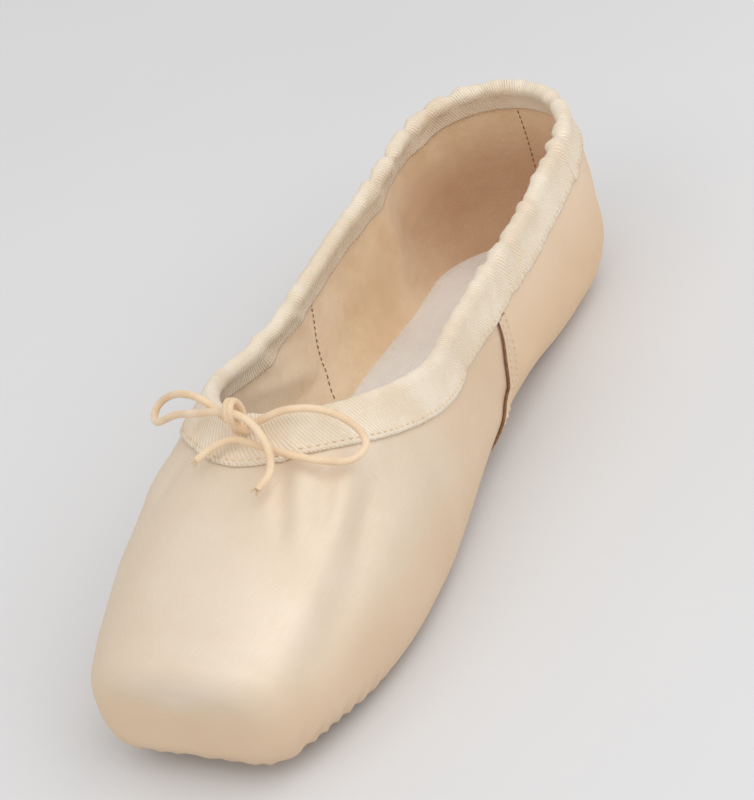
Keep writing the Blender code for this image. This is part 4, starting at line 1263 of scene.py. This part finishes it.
def build_stitches():
    """Sews along a line that carries its own up direction, one bent thread at each pitch."""
    tree = STITCHES
    for key, kind in (
        ("Line", "NodeSocketGeometry"),
        ("Pitch", "NodeSocketFloat"),
        ("Length", "NodeSocketFloat"),
        ("Thread", "NodeSocketFloat"),
        ("Paint", "NodeSocketMaterial"),
    ):
        tree.interface.new_socket(key, in_out="INPUT", socket_type=kind)
    tree.interface.new_socket("Sewn", in_out="OUTPUT", socket_type="NodeSocketGeometry")
    given, sewn = tree.nodes.new("NodeGroupInput"), tree.nodes.new("NodeGroupOutput")
    line = node(tree, "GeometryNodeMeshToCurve", {"Mesh": given.outputs["Line"]})
    even = node(
        tree,
        "GeometryNodeResampleCurve",
        {"Curve": line.outputs[0], "Length": given.outputs["Pitch"]},
        mode="LENGTH",
    )
    up = node(tree, "GeometryNodeInputNamedAttribute", {"Name": "up"}, data_type="FLOAT_VECTOR")
    along = node(
        tree,
        "FunctionNodeAlignRotationToVector",
        {"Vector": node(tree, "GeometryNodeInputTangent").outputs[0]},
        axis="X",
    )
    turned = node(
        tree,
        "FunctionNodeAlignRotationToVector",
        {"Rotation": along.outputs[0], "Vector": up.outputs[0]},
        axis="Z",
        pivot_axis="X",
    )
    bow = node(
        tree,
        "GeometryNodeCurveQuadraticBezier",
        {"Resolution": 6, "Start": (-0.5, 0, -0.25), "Middle": (0, 0, 0.35), "End": (0.5, 0, -0.25)},
    )
    longer = node(tree, "ShaderNodeCombineXYZ", {0: given.outputs["Length"], 1: 1.0})
    tree.links.new(given.outputs["Length"], longer.inputs[2])
    sized = node(tree, "GeometryNodeTransform", {"Geometry": bow.outputs[0], "Scale": longer.outputs[0]})
    round_thread = {"Resolution": 6, "Radius": given.outputs["Thread"]}
    ring = node(tree, "GeometryNodeCurvePrimitiveCircle", round_thread)
    thread = node(
        tree,
        "GeometryNodeCurveToMesh",
        {"Curve": sized.outputs[0], "Profile Curve": ring.outputs[0], "Fill Caps": True},
    )
    placed = node(
        tree,
        "GeometryNodeInstanceOnPoints",
        {"Points": even.outputs[0], "Instance": thread.outputs[0], "Rotation": turned.outputs[0]},
    )
    real = node(tree, "GeometryNodeRealizeInstances", {"Geometry": placed.outputs[0]})
    smooth = node(tree, "GeometryNodeSetShadeSmooth", {"Geometry": real.outputs[0]})
    painted = node(
        tree,
        "GeometryNodeSetMaterial",
        {"Geometry": smooth.outputs[0], "Material": given.outputs["Paint"]},
    )
    tree.links.new(painted.outputs[0], sewn.inputs[0])


build_stitches()

Sewing = namedtuple("Sewing", "pitch length thread")
TAPE_SEWING = Sewing(0.0021, 0.0013, 0.00017)
SATIN_SEWING = Sewing(0.0019, 0.0013, 0.00015)
LINING_SEWING = Sewing(0.0019, 0.0013, 0.00013)
STITCH_LIFT = 0.0001

# The row on the binding is this far above its lower edge.
BINDING_ROW = 0.0013

# The lining's side seam, as (run, level), and the levels between which its heel seam runs.
LINING_SEAM = ((0.1387, 0.33), (0.1415, 0.19), (0.1405, 0.05), (0.1405, -0.16), (0.1368, -0.50))
HEEL_SEAM = (0.24, -0.45)


def sew(name, lines, sewing, paint, finish):
    """Rows of stitches on lines of (points, up directions), as one plain mesh."""
    points = np.concatenate([line[0] for line in lines])
    ups = np.concatenate([line[1] for line in lines])
    edges, first = [], 0
    for line in lines:
        edges += [(first + i, first + i + 1) for i in range(len(line[0]) - 1)]
        first += len(line[0])
    mesh = bpy.data.meshes.new(name + "_line")
    mesh.from_pydata(points.tolist(), edges, [])
    mesh.attributes.new("up", "FLOAT_VECTOR", "POINT").data.foreach_set("vector", ups.ravel())
    guide = bpy.data.objects.new(name + "_line", mesh)
    bpy.context.scene.collection.objects.link(guide)
    needle = guide.modifiers.new("sewing", "NODES")
    needle.node_group = STITCHES
    values = dict(zip(("Pitch", "Length", "Thread", "Paint"), (*sewing, paint)))
    for socket in STITCHES.interface.items_tree:
        if socket.in_out == "INPUT" and socket.name in values:
            needle[socket.identifier] = values[socket.name]
    ready = guide.evaluated_get(bpy.context.evaluated_depsgraph_get())
    sewn = bpy.data.meshes.new_from_object(ready)
    sewn.name = name
    bpy.data.objects.remove(guide)
    return piece(name, sewn, finish)


def collar_row(distance, height, count=700):
    """A closed row along the collar, that far out from its edge."""
    run, level, side = collar_places(count)
    away = away_from_opening(run, level, side)
    place = walk(run, level, side, away, distance + tab_reach(shoe_surface(run, level, side)))
    row = off_surface(*place, side, height)
    up = surface_normal(*place, side)
    return np.concatenate([row, row[:1]]), np.concatenate([up, up[:1]])


def make_stitches():
    """The rows on the binding, the heel's tape, the quarters' seams and the lining."""
    row = collar_row(BINDING_OUTSIDE - BINDING_ROW, GAP + BINDING_TAPE + 0.00016)
    sew("binding_stitches", [row], TAPE_SEWING, PALE_THREAD, "twill")
    heel = [
        beside(back_tape_line(), ACROSS_HEEL, share * BACK_TAPE_WIDTH, GAP + SEAM_TAPE + STITCH_LIFT)
        for share in (-0.36, 0.36)
    ]
    sides = [
        beside(seam_line(side), ACROSS_SEAM, share * SEAM_WIDTH, GAP + SEAM_TAPE + STITCH_LIFT)
        for side in (LEFT, RIGHT)
        for share in (-0.32, 0.22)
    ]
    sew("satin_stitches", heel + sides, SATIN_SEWING, PALE_THREAD, "satin")
    inside = []
    for side in (LEFT, RIGHT):
        run, level = smooth_path(LINING_SEAM).T
        inside.append((run, level, side))
    inside.append((np.full(40, FULL_RUN), np.linspace(*HEEL_SEAM, 40), LEFT))
    rows = []
    for run, level, side in inside:
        normal = surface_normal(run, level, side)
        rows.append((on_lining(run, level, side, 2 * STITCH_LIFT), -normal))
    sew("lining_stitches", rows, LINING_SEWING, DARK_THREAD, "satin")


make_seams()
make_stitches()


# Underneath: the leather outsole.
def outsole_half(count=120):
    """Half outline of the outsole in plan, front to back."""
    front = SHOE_LENGTH - OUTSOLE_SETBACK - OUTSOLE_FRONT_ROUND
    turn = np.linspace(0, pi / 2, 28)[:-1]
    front_x = front + OUTSOLE_FRONT_ROUND * np.cos(turn)
    side_x = np.concatenate([front_x, np.linspace(front, HEEL_FAN, count)[:-1]])
    half = section_sizes(SHOE_LENGTH - side_x)[1] - OUTSOLE_MARGIN
    half[: len(turn)] *= np.sqrt(np.sin(turn))
    half[0] = 0.0
    fan_runs = np.linspace(RUN_TO_FAN, FULL_RUN, 30)
    radius = section_sizes(fan_runs)[1] - OUTSOLE_MARGIN
    fan = fan_share(fan_runs) * pi / 2
    x = np.concatenate([side_x, HEEL_FAN - radius * np.sin(fan)])
    y = np.concatenate([half, radius * np.cos(fan)])
    y[-1] = 0.0
    return x, y


def inset_half(x, y, inset):
    """A half outline moved inwards by the inset."""
    along = np.gradient(np.stack([x, y], 1), axis=0)
    along /= np.linalg.norm(along, axis=1, keepdims=True)
    along[0], along[-1] = (0, 1), (0, -1)
    inward = np.stack([along[:, 1], -along[:, 0]], 1)
    inward *= np.where((inward[:, 1] > 0)[:, None], -1, 1)
    inward[0], inward[-1] = (-1, 0), (1, 0)
    moved = np.stack([x, y], 1) + inward * inset
    moved[0, 1] = moved[-1, 1] = 0.0
    return moved[:, 0], np.maximum(moved[:, 1], 0)


# The sole's edge from its face up: how far in, and how high as a share of the edge's radius. How
# far in is a share of that radius too while it is under 1, and from there on in millimetres.
SOLE_EDGE = (
    (4.2, 0.0), (3.4, 0.0), (2.6, 0.0), (1.8, 0.0), (1.2, 0.04), (0.8, 0.12), (0.45, 0.3),
    (0.2, 0.55), (0.05, 0.85), (0.0, 1.2), (0.0, 2.2), (0.05, 2.8), (0.25, 3.1), (0.6, 3.3),
)


def outsole_mesh():
    """The sole with rubbed edges. Its cloth map's first number is the distance from the edge."""
    x, y = outsole_half()
    grids = []
    for side in (1, -1):
        rings, places = [], []
        for inset, rise in SOLE_EDGE:
            edge_x, edge_y = inset_half(x, y, inset * (OUTSOLE_EDGE if inset < 1 else 0.001))
            rise = min(rise * OUTSOLE_EDGE, OUTSOLE_THICKNESS)
            rings.append(np.stack([edge_x - MIDDLE_X, side * edge_y, sole_lift(x) + rise], 1))
            places.append(np.stack([np.full(len(x), inset * 0.001), x], 1))
        grids.append((np.array(rings), np.array(places), 0))
        for ring in (rings[0], rings[-1]):
            shares = np.linspace(0, 1, 12)
            flat = np.stack([ring * np.array([1, share, 1]) for share in shares], 1)
            inside = np.stack([np.stack([4.2 + 12 * (1 - shares), shares], 1)] * len(x), 0) * 0.001
            grids.append((flat, inside, 0))
    return weld("sole_leather_plate", grids, [LEATHER])


def inner_reach(run, height):
    """How far out the upper's inside is at a height, in a station's own plane."""
    levels = np.linspace(-1.4, 0.0, 40)
    inside = off_surface(np.full(40, run), levels, LEFT, -float(wall_at(run)))
    fan = float(fan_share(run)) * pi / 2
    centre = max(SHOE_LENGTH - run, HEEL_FAN) - MIDDLE_X
    out = (centre - inside[:, 0]) * sin(fan) + inside[:, 1] * cos(fan)
    return float(np.interp(height, inside[:, 2], out))


SOCK_FULLNESS = 0.0003


def sock_mesh():
    """The sock, a little full in its middle and soft at its edges."""
    runs = np.concatenate([spaced(INSOLE_SETBACK, RUN_TO_FAN, 89), np.linspace(RUN_TO_FAN, FULL_RUN, 30)])
    shares = np.sin(np.linspace(0, pi / 2, 18))
    grids = []
    for side in (1, -1):
        top, places, bottom = [], [], []
        for run in runs:
            fan = float(fan_share(run)) * pi / 2
            centre = max(SHOE_LENGTH - run, HEEL_FAN)
            floor = float(section_sizes(run)[4]) + float(wall_at(run)) + GAP
            reach = inner_reach(run, floor + INSOLE_THICKNESS / 2) - INSOLE_CLEARANCE
            out = reach * shares
            x = centre - out * sin(fan) - MIDDLE_X
            height = floor + INSOLE_THICKNESS * (1 - 0.75 * shares**10) + SOCK_FULLNESS * (1 - shares**2)
            top.append(np.stack([x, side * out * cos(fan), height], 1))
            bottom.append(np.stack([x, side * out * cos(fan), np.full(18, floor)], 1))
            places.append(np.stack([x, side * out * cos(fan)], 1))
        top, places, bottom = np.array(top), np.array(places), np.array(bottom)
        grids += [(top, places, 0), (bottom, places, 0)]
        grids.append((np.stack([top[:, -1], bottom[:, -1]], 1), np.stack([places[:, -1]] * 2, 1), 0))
        grids.append((np.stack([top[0], bottom[0]]), np.stack([places[0]] * 2), 0))
    return weld("sock_cloth", grids, [SOCK])


piece("sole_leather_plate", outsole_mesh(), "sole_leather", "outsole")
piece("sock_cloth", sock_mesh(), "sock", "insole")


# Floor and light.
FLOOR_HALF = 3.0


def make_floor():
    """A wide pale floor."""
    mesh = bpy.data.meshes.new("floor")
    corners = [(x * FLOOR_HALF, y * FLOOR_HALF, 0) for x, y in ((-1, -1), (1, -1), (1, 1), (-1, 1))]
    mesh.from_pydata(corners, [], [(0, 1, 2, 3)])
    mesh.materials.append(FLOOR)
    floor = bpy.data.objects.new("floor", mesh)
    bpy.context.scene.collection.objects.link(floor)


def softbox(name, place, size, power):
    """A square area light that faces the shoe."""
    light = bpy.data.lights.new(name, "AREA")
    light.size, light.energy = size, power
    lamp = bpy.data.objects.new(name, light)
    lamp.location = place
    lamp.rotation_euler = (Vector(place) - Vector((0, 0, 0.02))).to_track_quat("Z", "Y").to_euler()
    bpy.context.scene.collection.objects.link(lamp)


def make_light():
    """A big soft light overhead, a second from the front, and a pale room."""
    softbox("beside", (0.05, 0.75, 0.95), 1.4, 7.4)
    softbox("front", (1.1, -0.3, 1.0), 1.2, 3.6)
    world = bpy.data.worlds.new("room")
    world.use_nodes = True
    world.node_tree.nodes["Background"].inputs[0].default_value = (1.0, 0.995, 0.99, 1)
    world.node_tree.nodes["Background"].inputs[1].default_value = 0.66
    bpy.context.scene.world = world
    bpy.context.scene.view_settings.view_transform = "Standard"


make_floor()
make_light()
